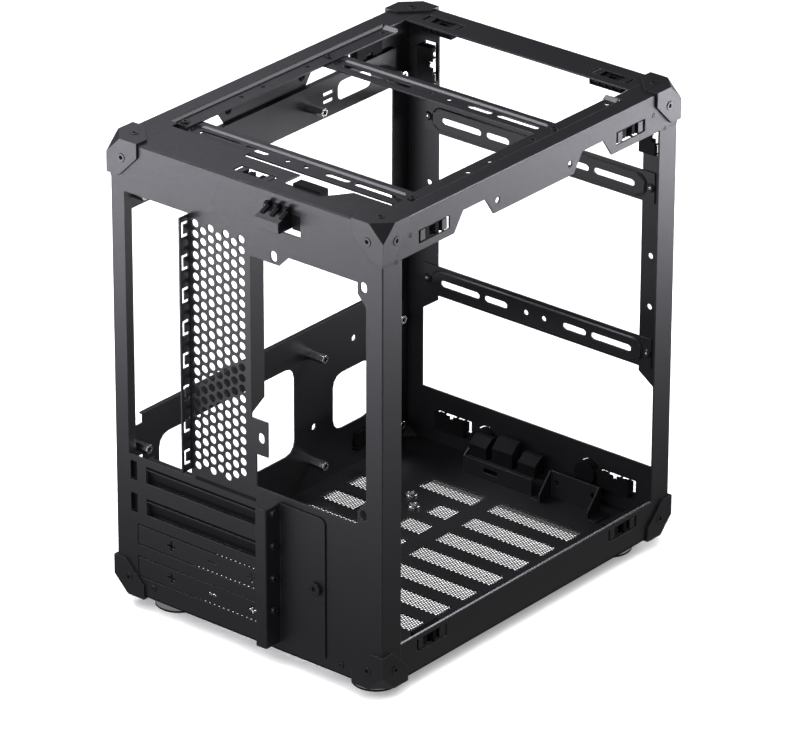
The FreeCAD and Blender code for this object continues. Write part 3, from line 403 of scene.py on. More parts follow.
def screw_tree():
    """Screw heads with a tapered rim and a six-sided socket."""
    tree, enter, leave = new_tree(
        "Screw heads", [("Head Radius", 0.0027), ("Head Height", 0.0004), ("Rim Taper", 0.8),
                        ("Socket Radius", 0.0012), ("Socket Depth", 0.0012)])
    sizes = enter.outputs
    top = add(tree, "ShaderNodeMath", operation="MULTIPLY")
    tree.links.new(sizes["Head Radius"], top.inputs[0])
    tree.links.new(sizes["Rim Taper"], top.inputs[1])
    head = add(tree, "GeometryNodeMeshCone",
               {"Vertices": 28, "Radius Top": top.outputs[0], "Radius Bottom": sizes["Head Radius"],
                "Depth": sizes["Head Height"]})
    # The cutter is centred on the head's face, so it is twice as long as the socket is deep.
    deep = add(tree, "ShaderNodeMath", operation="MULTIPLY")
    tree.links.new(sizes["Socket Depth"], deep.inputs[0])
    deep.inputs[1].default_value = 2.0
    socket = add(tree, "GeometryNodeMeshCylinder",
                 {"Vertices": 6, "Radius": sizes["Socket Radius"], "Depth": deep.outputs[0]})
    lift = add(tree, "ShaderNodeCombineXYZ", {"Z": sizes["Head Height"]})
    raised = add(tree, "GeometryNodeTransform",
                 {"Geometry": socket.outputs["Mesh"], "Translation": lift.outputs[0]})
    cut = add(tree, "GeometryNodeMeshBoolean",
              {"Mesh 1": head.outputs["Mesh"], "Mesh 2": raised.outputs[0]}, operation="DIFFERENCE")
    on_points(tree, enter, leave, cut.outputs["Mesh"])
    return tree


def perforation_tree():
    """Six-sided cells of sheet, each with a hole, that close up into a perforated field."""
    tree, enter, leave = new_tree(
        "Perforation", [("Cell Radius", 0.00115), ("Hole Share", 0.62), ("Thickness", 0.0008)])
    sizes = enter.outputs
    cell = add(tree, "GeometryNodeMeshCircle",
               {"Vertices": 6, "Radius": sizes["Cell Radius"]}, fill_type="NGON")
    inset = add(tree, "GeometryNodeExtrudeMesh",
                {"Mesh": cell.outputs[0], "Offset Scale": 0.0}, mode="FACES")
    inner = inset.outputs["Top"]
    hole = add(tree, "GeometryNodeScaleElements",
               {"Geometry": inset.outputs["Mesh"], "Selection": inner, "Scale": sizes["Hole Share"]},
               domain="FACE")
    ring = add(tree, "GeometryNodeDeleteGeometry",
               {"Geometry": hole.outputs[0], "Selection": inner}, domain="FACE")
    thick = add(tree, "GeometryNodeExtrudeMesh",
                {"Mesh": ring.outputs[0], "Offset Scale": sizes["Thickness"], "Individual": False},
                mode="FACES")
    under = add(tree, "GeometryNodeFlipFaces", {"Mesh": ring.outputs[0]})
    whole = add(tree, "GeometryNodeJoinGeometry")
    tree.links.new(thick.outputs["Mesh"], whole.inputs[0])
    tree.links.new(under.outputs[0], whole.inputs[0])
    on_points(tree, enter, leave, whole.outputs[0])
    return tree


def grown(name, tree, places, slot, sizes, *nodes):
    """Runs a tree on (place, facing) points and keeps its result as a plain mesh piece."""
    cloud = bpy.data.meshes.new(name + "_points")
    cloud.from_pydata([spot for spot, facing in places], [], [])
    facing = cloud.attributes.new("facing", "FLOAT_VECTOR", "POINT")
    for i, (spot, way) in enumerate(places):
        facing.data[i].vector = way
    carrier = bpy.data.objects.new(name + "_carrier", cloud)
    bpy.context.scene.collection.objects.link(carrier)
    modifier = carrier.modifiers.new(name, "NODES")
    modifier.node_group = tree
    values = dict(sizes, Finish=FINISHES[slot])
    for item in tree.interface.items_tree:
        if item.in_out == "INPUT" and item.name in values:
            modifier[item.identifier] = values[item.name]
    evaluated = carrier.evaluated_get(bpy.context.evaluated_depsgraph_get())
    mesh = bpy.data.meshes.new_from_object(evaluated)
    mesh.name = name
    bpy.data.objects.remove(carrier)
    for attribute in [a.name for a in mesh.attributes if a.name == "facing"]:
        mesh.attributes.remove(mesh.attributes[attribute])
    return finished(name, mesh, slot, *nodes)


def screws(name, places, slot, *nodes, radius, height, taper, socket, depth):
    """Grows screw heads of sizes in millimetres; the taper is the top radius as a share of the radius."""
    sizes = {"Head Radius": radius * MM, "Head Height": height * MM, "Rim Taper": taper,
             "Socket Radius": socket * MM, "Socket Depth": depth * MM}
    return grown(name, SCREW_HEADS, places, slot, sizes, *nodes)


SCREW_HEADS = screw_tree()


# Floor


FIELD_FIRST = -115.84
FIELD_PITCH = 24.12
FIELD_DEPTH = 14.0
FIELD_RIGHT = (5.2, 66.6)
FIELD_RIGHT_REAR = (5.2, 56.0)
FIELD_LEFT = (-82.0, -5.6)
FIELD_LEFT_REAR = (-56.0, -5.6)
FIELD_LEFT_OUTER = (-82.0, -56.0)
# Left fields row by row, from the rear; the last three rows leave plain floor near the grommets.
FIELDS_LEFT = [[FIELD_LEFT_REAR]] + [[FIELD_LEFT]] * 5
FIELDS_LEFT += [[FIELD_LEFT_OUTER, (-25.0, -5.6)], [FIELD_LEFT_OUTER, (-21.4, -5.6)], [(-46.5, -5.6)]]
FIELD_LIFT = 0.1
FIELD_THICK = 0.45
HOLE_PITCH = 2.0
HOLE_SHARE = 0.78
FLOOR_CORNER = 8.4
GROMMETS = ((-41.8, 65.0), (-31.1, 54.2))
GROMMET_HOLE = 2.6
GROMMET_PROFILE = [(2.0, 0.2), (2.0, 2.2), (2.3, 2.55), (3.0, 2.6), (3.7, 2.4), (4.1, 1.9), (4.2, 1.0),
                   (4.2, 0.2), (2.0, 0.2)]
CLIP_LENGTH = 26.6
CLIP_WIDTH = 7.8
SIDE_CLIPS_Y = (-87.4, 87.4)
FLOOR_CLIP_Z = 15.7
# Rail edges, as steps in and down from the outer upper corner of the sheet.
FLOOR_RIM = ((SHEET, SHEET), (0.0, SHEET), (0.08, 0.78), (0.72, 0.08), (SHEET, 0.0))
TOP_RIM = ((0.6, -0.02), (-0.02, 0.6), (0.6, 0.6))


def floor_fields():
    """Rectangles (x0, x1, y0, y1) of the perforated fields, left and right apart."""
    left = []
    right = []
    for row, spans in enumerate(FIELDS_LEFT):
        y = FIELD_FIRST + row * FIELD_PITCH
        left += [(x0, x1, y, y + FIELD_DEPTH) for x0, x1 in spans]
        right.append((*(FIELD_RIGHT if row else FIELD_RIGHT_REAR), y, y + FIELD_DEPTH))
    return left, right


def floor_sheet():
    """Floor with open fields, and the two rails folded up from it."""
    bm = bmesh.new()
    left, right = floor_fields()
    holes = left + right
    holes += [(x - GROMMET_HOLE, x + GROMMET_HOLE, y - GROMMET_HOLE, y + GROMMET_HOLE) for x, y in GROMMETS]
    for sx in (-1, 1):
        for sy in (-1, 1):
            notch_x = mirrored(HALF_W - FLOOR_CORNER, HALF_W, sx)
            notch_y = mirrored(HALF_D - FLOOR_CORNER, HALF_D, sy)
            holes.append((*notch_x, *notch_y))
    reach_x = HALF_W - SHEET
    reach_y = HALF_D - SHEET
    cell_sheet(bm, (-reach_x, reach_x), (-reach_y, reach_y), holes, place, SHEET)
    low = FLOOR_CLIP_Z - CLIP_WIDTH / 2
    windows = [(y - CLIP_LENGTH / 2, y + CLIP_LENGTH / 2, low, low + CLIP_WIDTH) for y in SIDE_CLIPS_Y]
    for side in (-1, 1):
        outer = side * HALF_W
        cell_sheet(bm, (-RAIL_RUN, RAIL_RUN), (0.0, RAIL_HEIGHT - SHEET), windows,
                   lambda u, v, w: place(outer - side * w, u, v), SHEET)
    return finished("floor_sheet", mesh_from(bm, "floor_sheet"), "frame_paint", "floor_pan")


def rail_rims():
    """Shinier upper edges of the two floor rails and of the two top rails, in a lighter paint that is a
    painted highlight.
    """
    bm = bmesh.new()
    for side in (-1, 1):
        for edge, top in ((TOP_RIM, HEIGHT), (FLOOR_RIM, RAIL_HEIGHT)):
            outline = [(side * (HALF_W - inward), top - down) for inward, down in edge]
            extruded(bm, outline, along_depth, (-RAIL_RUN, RAIL_RUN))
    mesh = mesh_from(bm, "rail_rims")
    mesh.materials.append(FINISHES["rim_highlight_paint"])
    finished("rail_rims", mesh, "frame_paint")


def field_points(fields):
    """Cell centres of the perforation, in columns half a pitch out of step."""
    points = []
    step = HOLE_PITCH * sqrt(3) / 2
    for x0, x1, y0, y1 in fields:
        columns = int((x1 - x0) / step) + 1
        rows = int((y1 - y0) / HOLE_PITCH) + 1
        left = (x0 + x1 - (columns - 1) * step) / 2
        low = (y0 + y1 - (rows - 0.5) * HOLE_PITCH) / 2
        for i in range(columns):
            for j in range(rows):
                spot = place(left + i * step, low + (j + 0.5 * (i % 2)) * HOLE_PITCH, FIELD_LIFT)
                points.append((spot, (0.0, 0.0, 1.0)))
    return points


def perforation():
    """Perforated fields of the floor, one piece for each side."""
    cells = perforation_tree()
    sizes = {"Cell Radius": HOLE_PITCH / sqrt(3) * MM, "Hole Share": HOLE_SHARE,
             "Thickness": FIELD_THICK * MM}
    for name, fields in zip(("perforation_left", "perforation_right"), floor_fields()):
        grown(name, cells, field_points(fields), "frame_paint", sizes)


def grommet_rings():
    """Domed rings of the two floor grommets."""
    bm = bmesh.new()
    for x, y in GROMMETS:
        spun(GROMMET_PROFILE, x, y, bm, steps=32)
    bmesh.ops.remove_doubles(bm, verts=bm.verts, dist=1e-7)
    return finished("grommet_rings", mesh_from(bm, "grommet_rings"), "nickel", "floor_grommets")


# Clips


REAR_CLIP_X = -3.0
REAR_CLIP_SET = 13.4
TOP_CLIP_DROP = 15.1
FRONT_CLIP_X = 62.0
FRONT_CLIP_Z = 18.8
FLANGE_CLIP_SET = 14.0
POST_CLIP_X = 82.0
POST_CLIP_DROP = 34.4
CLIP_END = 11.3
CLIP_WHOLE = (-CLIP_END, CLIP_END)
CLIP_BACK = (-5.0, -3.8)


def clip_places():
    """Middle of every window on the inner face of its sheet, way to the rim, and way out."""
    up = (0, 0, 1)
    front = (0, 1, 0)
    top = HEIGHT - SHEET
    front_inner = HALF_D - SHEET
    places = [((REAR_CLIP_X, -HALF_D + REAR_CLIP_SET, top), (0, -1, 0), up)]
    for side in (-1, 1):
        out = (side, 0, 0)
        wall = side * (HALF_W - SHEET)
        for y in SIDE_CLIPS_Y:
            places.append(((wall, y, HEIGHT - TOP_CLIP_DROP), up, out))
            places.append(((wall, y, FLOOR_CLIP_Z), up, out))
        places.append(((side * FRONT_CLIP_X, front_inner, FRONT_CLIP_Z), (0, 0, -1), front))
        places.append(((side * POST_CLIP_X, front_inner, HEIGHT - POST_CLIP_DROP), (-1, 0, 0), front))
        places.append(((side * FRONT_CLIP_X, HALF_D - FLANGE_CLIP_SET, top), front, up))
    return places


def clip_pads():
    """Two painted faces of a clip, set in its window."""
    return [(mirrored(7.3, CLIP_END, side), (-3.2, 3.2), (0.4, 0.72)) for side in (-1, 1)]


def clip_body():
    """Blocks of a clip's black body: spans along the window, towards its rim, and out of the sheet."""
    ledge = (3.9, 4.9)
    inside = (-3.8, -1.3)
    rib = (-3.8, -0.05)
    blocks = [
        (CLIP_WHOLE, (4.9, 6.1), (-5.0, -0.05)), (CLIP_WHOLE, ledge, CLIP_BACK),
        ((-2.9, 2.9), (-3.0, 3.9), CLIP_BACK), ((-2.7, 2.7), (2.2, 3.9), (-3.8, -0.6)),
    ]
    for side in (-1, 1):
        blocks += [
            (mirrored(2.9, CLIP_END, side), (-5.4, 3.9), CLIP_BACK),
            (mirrored(7.3, CLIP_END, side), (-3.2, 3.2), (-1.3, 0.4)),
            (mirrored(7.9, 11.0, side), (-3.2, 3.9), inside),
            (mirrored(2.75, 5.6, side), (-2.8, 3.9), (-3.8, -0.35)),
            (mirrored(5.9, 6.8, side), (-6.2, -5.4), CLIP_BACK),
            (mirrored(9.0, 9.8, side), (-5.9, -5.4), CLIP_BACK),
            (mirrored(1.2, 1.9, side), (-3.7, -3.0), CLIP_BACK),
            (mirrored(10.4, CLIP_END, side), (-5.4, -4.4), inside),
            (mirrored(4.4, 5.3, side), (-5.4, -4.4), inside),
            (mirrored(10.9, CLIP_END, side), ledge, rib),
            (mirrored(3.6, 4.2, side), ledge, rib),
        ]
    return blocks


def clip_skirt():
    """Pocketed lower edge of the clips under the front flange."""
    edge = (-6.6, -5.4)
    pocket = (-4.2, -1.3)
    blocks = [(CLIP_WHOLE, (-5.4, -5.0), (-5.0, -0.4)), (CLIP_WHOLE, edge, (-5.0, -4.2)),
              (CLIP_WHOLE, edge, (-1.3, -0.4)), ((-0.4, 0.4), edge, pocket)]
    for near, far in ((10.4, CLIP_END), (4.6, 5.4)):
        blocks += [(mirrored(near, far, side), edge, pocket) for side in (-1, 1)]
    return blocks


def window_clips():
    """Clips behind the windows: two painted pads, and a black body with ribs and a notched back."""
    kinds = (("clip_pads", clip_pads(), [], "bracket_paint", ()),
             ("moulded_clips", clip_body(), clip_skirt(), "black_moulding", ("panel_clips",)))
    for name, blocks, skirt, slot, nodes in kinds:
        bm = bmesh.new()
        for middle, rim, out in clip_places():
            rim = Vector(rim)
            out = Vector(out)
            along = rim.cross(out)

            def spread(a, b, c):
                return place(*(Vector(middle) + a * along + b * rim + c * out))

            under_front_flange = out.z > 0 and rim.y > 0
            for block in blocks + (skirt if under_front_flange else []):
                cuboid(bm, spread, *block)
        finished(name, mesh_from(bm, name), slot, *nodes)


# Round rims


# A six-sided hole of the solids has the area of the round one; this is its corner's reach for a radius of 1.
SIX_REACH = sqrt(2 * pi / 6 / sin(2 * pi / 6))
RIM_SHARE = 0.998
VENT_COLUMNS = 7
VENT_ROWS = 24
VENT_RADIUS = 2.55
VENT_STRIP_X = -HALF_W + 57.6
VENT_STRIP_WIDTH = 45.0
VENT_STRIP_TOP = HEIGHT - 30.4
VENT_STRIP_LOW = SLOT_TOP + 9.9
VENT_MARGIN = 4.8
VENT_MARGIN_RIGHT = 6.53
VENT_MARGIN_LOW = 8.76
RAIL_HOLE_RADIUS = 2.0
POST_HOLES_Z = (FRONT_BARS_Z[0] + 29.4, FRONT_BARS_Z[0] + 61.7)
POST_HOLE_RADIUS = 1.9
BAR_HOLE_X = 6.7
BAR_HOLE_RADIUS = 1.8
SEAT_HOLES_Y = (-19.3, 19.3)
SEAT_HOLE_RADIUS = 1.6


def rim_ring(bm, spread, u, v, radius, w, steps=24):
    """Rounds a six-sided hole: fills between its sides and the circle inside them."""
    flat = radius * SIX_REACH * cos(pi / 6)
    inner = flat * RIM_SHARE
    rings = []
    for level in w:
        outside = []
        inside = []
        for i in range(steps):
            a = 2 * pi * i / steps
            reach = flat / cos((a + pi / 6) % (pi / 3) - pi / 6)
            outside.append(bm.verts.new(spread(u + reach * cos(a), v + reach * sin(a), level)))
            inside.append(bm.verts.new(spread(u + inner * cos(a), v + inner * sin(a), level)))
        rings.append((outside, inside))
    for i in range(steps):
        j = (i + 1) % steps
        for outside, inside in rings:
            bm.faces.new([outside[i], outside[j], inside[j], inside[i]])
        for lower, upper in zip(*rings):
            bm.faces.new([lower[i], lower[j], upper[j], upper[i]])


def vent_places():
    """Middles (x, z) of the vents; every other column sits lower, and these and the last have one less."""
    points = []
    across = (VENT_STRIP_WIDTH - VENT_MARGIN - VENT_MARGIN_RIGHT) / (VENT_COLUMNS - 1)
    pitch = (VENT_STRIP_TOP - VENT_STRIP_LOW - VENT_MARGIN - VENT_MARGIN_LOW) / (VENT_ROWS - 1)
    left = VENT_STRIP_X + VENT_MARGIN
    top = VENT_STRIP_TOP - VENT_MARGIN
    for column in range(VENT_COLUMNS):
        odd = column % 2
        last = column == VENT_COLUMNS - 1
        for row in range(VENT_ROWS - odd - last):
            points.append((left + column * across, top - (row + odd / 2) * pitch))
    return points


def round_rims():
    """Round edges of the vents and of the other small holes."""
    bm = bmesh.new()
    seat = TOP_BAR_FACE
    top_floor = TOP_BAR_FACE - SHEET - BAR_DEPTH
    front_floor = FRONT_BAR_FACE - SHEET - BAR_DEPTH
    for x, z in vent_places():
        rim_ring(bm, along_depth, x, z, VENT_RADIUS, (-HALF_D, -HALF_D + SHEET))
    for side in (-1, 1):
        wall = (side * (HALF_W - SHEET), side * HALF_W)
        for y in RAIL_HOLES_Y:
            rim_ring(bm, along_width, y, RAIL_HOLES_Z, RAIL_HOLE_RADIUS, wall)
        for z in POST_HOLES_Z:
            rim_ring(bm, along_depth, side * BAR_SCREW_X, z, POST_HOLE_RADIUS, (HALF_D - SHEET, HALF_D))
        for y in TOP_BARS_Y:
            rim_ring(bm, place, side * BAR_HOLE_X, y, BAR_HOLE_RADIUS, (top_floor, top_floor + SHEET))
        for z in FRONT_BARS_Z:
            rim_ring(bm, along_depth, side * BAR_HOLE_X, z, BAR_HOLE_RADIUS,
                     (front_floor, front_floor + SHEET))
        for y in SEAT_HOLES_Y:
            rim_ring(bm, place, side * BAR_SCREW_X, y, SEAT_HOLE_RADIUS, (seat, seat + SHEET))
    return finished("round_rims", mesh_from(bm, "round_rims"), "frame_paint")


# Rear panel


# Section of a slot cover, as steps in and up from its slot's middle on the inner face of the rear sheet.
COVER_LEAF = ((-0.8, 2.9), (-0.8, 3.6), (3.0, 3.6), (3.0, 6.2), (0.0, 6.2), (0.0, 9.2), (4.0, 9.2),
              (4.0, 2.6), (6.0, -7.6), (6.0, -9.2), (0.0, -9.2), (0.0, -8.2), (5.0, -8.2), (5.0, -7.4),
              (1.0, 2.9))
COVER_SPAN = (-75.4, 6.6)
# Frame and tab of a slot cover: span across, span inwards, and half of the height.
COVER_BLOCKS = (((-79.0, -75.4), (0.0, 1.0), 9.2), ((6.6, 14.0), (0.0, 1.0), 9.2),
                ((-76.4, -75.4), (1.0, 6.0), 9.2), ((6.6, 7.6), (1.0, 6.0), 9.2),
                ((-91.0, -79.0), (3.0, 4.0), 6.8), ((-79.0, -76.4), (1.0, 4.0), 6.8))
CATCH_REACH = 11.0
CATCH_TIP = -HALF_D - CATCH_REACH
CATCH_BACK = -HALF_D + 20.6
CATCH_HIGH = HEIGHT - 11.7
CATCH_LOW = CATCH_HIGH - 6.0
CATCH_ROOT = CATCH_HIGH + 3.8
CATCH_SHOULDER = CATCH_HIGH + 2.0
CATCH_HEAD_TOP = HEIGHT + 1.4
CATCH_SHELF_X = (16.7, 33.9)
CATCH_CORE_X = (17.0, 34.4)
CATCH_BLOCK_X = (34.4, 40.6)
CATCH_STEM_X = (23.6, 34.4)
CATCH_HEAD_X = (23.6, 43.0)
CATCH_BLOCK_Y = (-HALF_D + 0.4, CATCH_BACK)
CATCH_STEM_Y = (CATCH_BACK - 7.0, CATCH_BACK)
CATCH_BLOCK_FOOT = CATCH_LOW - 0.8
# Upright thickness of the shelf's sloped sheet at its tip and root, and the gap below it.
SHELF_TIP = 0.7
SHELF_ROOT = 1.1
SHELF_GAP = 0.1
HOOK_FIRST = 18.0
HOOK_PITCH = 6.8
HOOK_WIDTH = 2.6
HOOK_FOOT = 7.4
# Upper part of a hook, as steps out and up from the root of the shelf.
HOOK_CURL = ((3.6, -0.2), (3.0, 1.4), (4.6, 1.8), (4.6, 2.5), (3.4, 3.2), (1.4, 3.0), (0.0, 1.8))
# Dark strips painted where the gap round the slot retainer lies in shadow.
SHADOW_GAP_WIDTH = 0.6
SHADOW_GAP_PROUD = 0.06
SLOT_END = 6.8
RETAINER_RIGHT = SLOT_END + 18.5 + 32.6
RETAINER_TOP = SLOT_TOP + 15.1
RETAINER_ROUND = 4.0
SHADOW_GAP_FOOT = 6.5
SHADOW_GAP_LEFT = 25.5
# Dark band over the first slot, a painted shadow.
SLOT_SHADOW_X = (-38.0, SLOT_END)
SLOT_SHADOW_Z = (SLOT_TOP + 9.6, SLOT_TOP + 11.9)
FOOT_SCREWS = ((-71.4, 7.4), (68.7, 6.1))
SLOT_SCREW = (25.3, -HALF_D - 6.9, 89.7)


def slot_covers():
    """Covers behind the two upper slots: a lip at the upper edge, and a face that leans into the case."""
    back = -HALF_D + SHEET
    for i in range(2):
        z = SLOT_TOP - i * SLOT_PITCH
        bm = bmesh.new()
        leaf = [(back + inward, z + up) for inward, up in COVER_LEAF]
        extruded(bm, leaf, along_width, COVER_SPAN)
        for span, (near, far), half in COVER_BLOCKS:
            cuboid(bm, place, span, (back + near, back + far), (z - half, z + half))
        name = f"slot_trough_{i + 1}"
        finished(name, mesh_from(bm, name), "frame_paint", f"slot_cover_{i + 1}")


def catch_shelf():
    """Folded shelf in the rear band, under the catch."""
    bm = bmesh.new()
    inner = CATCH_TIP + SHEET
    fold = [(-HALF_D, CATCH_ROOT), (CATCH_TIP, CATCH_HIGH), (CATCH_TIP, CATCH_LOW), (inner, CATCH_LOW),
            (inner, CATCH_HIGH - SHELF_TIP), (-HALF_D, CATCH_ROOT - SHELF_ROOT)]
    extruded(bm, fold, along_width, CATCH_SHELF_X)
    finished("catch_shelf", mesh_from(bm, "catch_shelf"), "frame_paint")


def catch_hooks():
    """Black moulding of the catch, which fills the shelf and has three hooks."""
    bm = bmesh.new()
    inner = CATCH_TIP + SHEET
    core = [(inner, CATCH_HIGH - SHELF_TIP - SHELF_GAP), (inner, CATCH_LOW), (CATCH_BACK, CATCH_LOW),
            (CATCH_BACK, CATCH_HIGH), (-HALF_D + SHEET, CATCH_HIGH),
            (-HALF_D, CATCH_ROOT - SHELF_ROOT - SHELF_GAP)]
    extruded(bm, core, along_width, CATCH_CORE_X)
    cuboid(bm, place, CATCH_BLOCK_X, CATCH_BLOCK_Y, (CATCH_BLOCK_FOOT, CATCH_SHOULDER))
    cuboid(bm, place, CATCH_HEAD_X, CATCH_STEM_Y, (CATCH_SHOULDER, CATCH_HEAD_TOP))
    cuboid(bm, place, CATCH_STEM_X, CATCH_STEM_Y, (CATCH_HIGH, CATCH_SHOULDER))
    foot = -HALF_D - HOOK_FOOT
    rise = CATCH_ROOT - HOOK_FOOT * (CATCH_ROOT - CATCH_HIGH) / CATCH_REACH
    hook = [(-HALF_D, CATCH_ROOT - 0.8), (foot, rise - 0.6), (foot - 0.2, rise + 0.7)]
    hook += [(-HALF_D - out, CATCH_ROOT + up) for out, up in HOOK_CURL]
    for i in range(3):
        start = HOOK_FIRST + i * HOOK_PITCH
        extruded(bm, hook, along_width, (start, start + HOOK_WIDTH))
    finished("catch_hooks", mesh_from(bm, "catch_hooks"), "black_moulding", "rear_catch")


def retainer_shadow_gap():
    """Painted shadow: dark strips on the sheet that stand for the shade in the gap round the slot retainer
    and in the band over the first slot.
    """
    bm = bmesh.new()
    middle_x = RETAINER_RIGHT - RETAINER_ROUND
    middle_z = RETAINER_TOP - RETAINER_ROUND
    level = (-HALF_D - SHADOW_GAP_PROUD, -HALF_D)
    cuboid(bm, place, (RETAINER_RIGHT, RETAINER_RIGHT + SHADOW_GAP_WIDTH), level, (SHADOW_GAP_FOOT, middle_z))
    cuboid(bm, place, (SHADOW_GAP_LEFT, middle_x), level, (RETAINER_TOP, RETAINER_TOP + SHADOW_GAP_WIDTH))
    cuboid(bm, place, SLOT_SHADOW_X, level, SLOT_SHADOW_Z)
    bow = [radians(10 * k) for k in range(10)]
    corner = []
    for radius, turns in ((RETAINER_ROUND + SHADOW_GAP_WIDTH, bow), (RETAINER_ROUND, bow[::-1])):
        corner += [(middle_x + radius * cos(a), middle_z + radius * sin(a)) for a in turns]
    extruded(bm, corner, along_depth, level)
    finished("retainer_shadow_gap", mesh_from(bm, "retainer_shadow_gap"), "black_moulding")


def rear_foot_screw_places():
    """Screws along the foot of the rear panel."""
    return [(place(x, -HALF_D, z), (0.0, -1.0, 0.0)) for x, z in FOOT_SCREWS]


def slot_screw_places():
    """Screws of the four slots, on the lip of the retainer."""
    x, y, z = SLOT_SCREW
    return [(place(x, y, z - SLOT_PITCH * i), (1.0, 0.0, 0.0)) for i in range(SLOT_COUNT)]


# Front, rails and bars


SOCKET_RADIUS = 7.5
# Each front socket as x and z of its hole, and the drop that leaves a crescent of the hole open.
FRONT_SOCKETS = ((41.4, 19.3, 0.2), (-36.7, 16.0, 0.35))
SOCKET_Y = (HALF_D - 7.0, HALF_D - 0.1)
SOCKET_LOWER = 0.8
COLLAR_RADIUS = SOCKET_RADIUS + 1.6
COLLAR_Y = (HALF_D - 4.0, HALF_D - SHEET)
ROUND_STEPS = 40
# Small dimples in the side walls, as y and z.
DIMPLES = ((-107.4, 269.7), (108.4, 269.6), (-119.5, 257.8), (119.9, 258.1))
# Run of the sloped walls of a bar's pressing, inside and outside.
TOP_BAR_SLOPES = (1.85, 1.2)
FRONT_BAR_SLOPES = (1.2, 0.8)
SEAT_EDGE = 76.2
SEAT_RUN = HALF_D - 38.1
SEAT_SLOPE = 3.1
STEP_FOOT = 85.5
STEP_TOP = 87.5
STEP_BACK = 88.0
TRAY_FACE = -HALF_W + 4.0
# Slots along the tray strip, as y0, y1, z0 and z1, and then the spans of the upright pair that they replace.
TRAY_SLOTS = ((48.0, 56.8, 243.0, 245.4), (48.0, 56.8, 247.8, 250.2))
TRAY_UPRIGHTS_Y = ((49.5, 51.5), (54.5, 56.5))
TRAY_UPRIGHTS_Z = (241.0, 251.5)


def front_sockets():
    """Switch and socket bodies that fill the two round holes of the front wall, but for a thin crescent."""
    bm = bmesh.new()
    turns = [2 * pi * i / ROUND_STEPS for i in range(ROUND_STEPS)]
    lower_half = turns[ROUND_STEPS // 2:] + turns[:1]
    for x, z, drop in FRONT_SOCKETS:
        radius = SOCKET_RADIUS - drop
        body = [(x + radius * cos(a), z - drop * SOCKET_LOWER + radius * sin(a)) for a in turns]
        extruded(bm, body, along_depth, SOCKET_Y)
        collar = [(x + COLLAR_RADIUS * cos(a), z - drop + COLLAR_RADIUS * sin(a)) for a in lower_half]
        extruded(bm, collar, along_depth, COLLAR_Y)
    finished("front_sockets", mesh_from(bm, "front_sockets"), "black_moulding")


def dimple_places():
    """Dimples near the upper corners of both side walls."""
    return [(place(side * HALF_W, y, z), (side, 0.0, 0.0)) for side in (-1, 1) for y, z in DIMPLES]


def rail_plug_places():
    """Plugs inside the two small holes of the left rail's wall."""
    return [(place(-HALF_W + SHEET, y, RAIL_HOLES_Z), (1.0, 0.0, 0.0)) for y in RAIL_HOLES_Y]


def bar_screw_places():
    """Screws at the ends of the four fan bars."""
    points = []
    for side in (-1, 1):
        for y in TOP_BARS_Y:
            points.append((place(side * BAR_SCREW_X, y, HEIGHT - SEAT_DROP), (0.0, 0.0, 1.0)))
        for z in FRONT_BARS_Z:
            points.append((place(side * BAR_SCREW_X, FRONT_BAR_FACE - SHEET, z), (0.0, -1.0, 0.0)))
    return points


def bar_tip_places():
    """Bright ends of the front bars' screws, seen in their sockets."""
    y = FRONT_BAR_FACE - SHEET - BAR_HEAD
    return [(place(side * BAR_SCREW_X, y, z), (0.0, -1.0, 0.0)) for side in (-1, 1) for z in FRONT_BARS_Z]


def rounded_outline(length, width, steps=10):
    """Points round a long shape with half-round ends."""
    reach = (length - width) / 2
    turns = [pi * k / steps - pi / 2 for k in range(steps + 1)]
    half = width / 2
    return [(side * (reach + half * cos(a)), side * half * sin(a)) for side in (1, -1) for a in turns]


def bevel_ring(bm, spread, loops):
    """Adds a three-sided ring; each loop is an outline and its level."""
    rings = [[bm.verts.new(spread(u, v, level)) for u, v in outline] for outline, level in loops]
    for upper, lower in zip(rings, rings[1:] + rings[:1]):
        for i in range(len(upper)):
            j = (i + 1) % len(upper)
            bm.faces.new([upper[i], upper[j], lower[j], lower[i]])


def pressing_slopes(inner_run, outer_run):
    """Loops of the two rings that slope the walls of a bar's pressing."""
    length, width = BAR_EMBOSS
    hollow = (length - 2 * SHEET, width - 2 * SHEET)
    inside = [(rounded_outline(*hollow), 0.0),
              (rounded_outline(hollow[0] - 2 * inner_run, hollow[1] - 2 * inner_run), -BAR_DEPTH),
              (rounded_outline(*hollow), -BAR_DEPTH)]
    outside = [(rounded_outline(length, width), -SHEET - BAR_DEPTH),
               (rounded_outline(length + 2 * outer_run, width + 2 * outer_run), -SHEET),
               (rounded_outline(length, width), -SHEET)]
    return inside, outside


def bar_bevels():
    """Sloped walls of the long pressing in each fan bar, inside and out, in a slightly lighter paint that is
    a painted highlight.
    """
    bm = bmesh.new()
    for ring in pressing_slopes(*TOP_BAR_SLOPES):
        for y in TOP_BARS_Y:
            bevel_ring(bm, lambda u, v, w: place(u, y + v, TOP_BAR_FACE + w), ring)
    for ring in pressing_slopes(*FRONT_BAR_SLOPES):
        for z in FRONT_BARS_Z:
            bevel_ring(bm, lambda u, v, w: place(u, FRONT_BAR_FACE + w, z + v), ring)
    mesh = mesh_from(bm, "bar_bevels")
    mesh.materials.append(FINISHES["bend_highlight_paint"])
    finished("bar_bevels", mesh, "frame_paint")


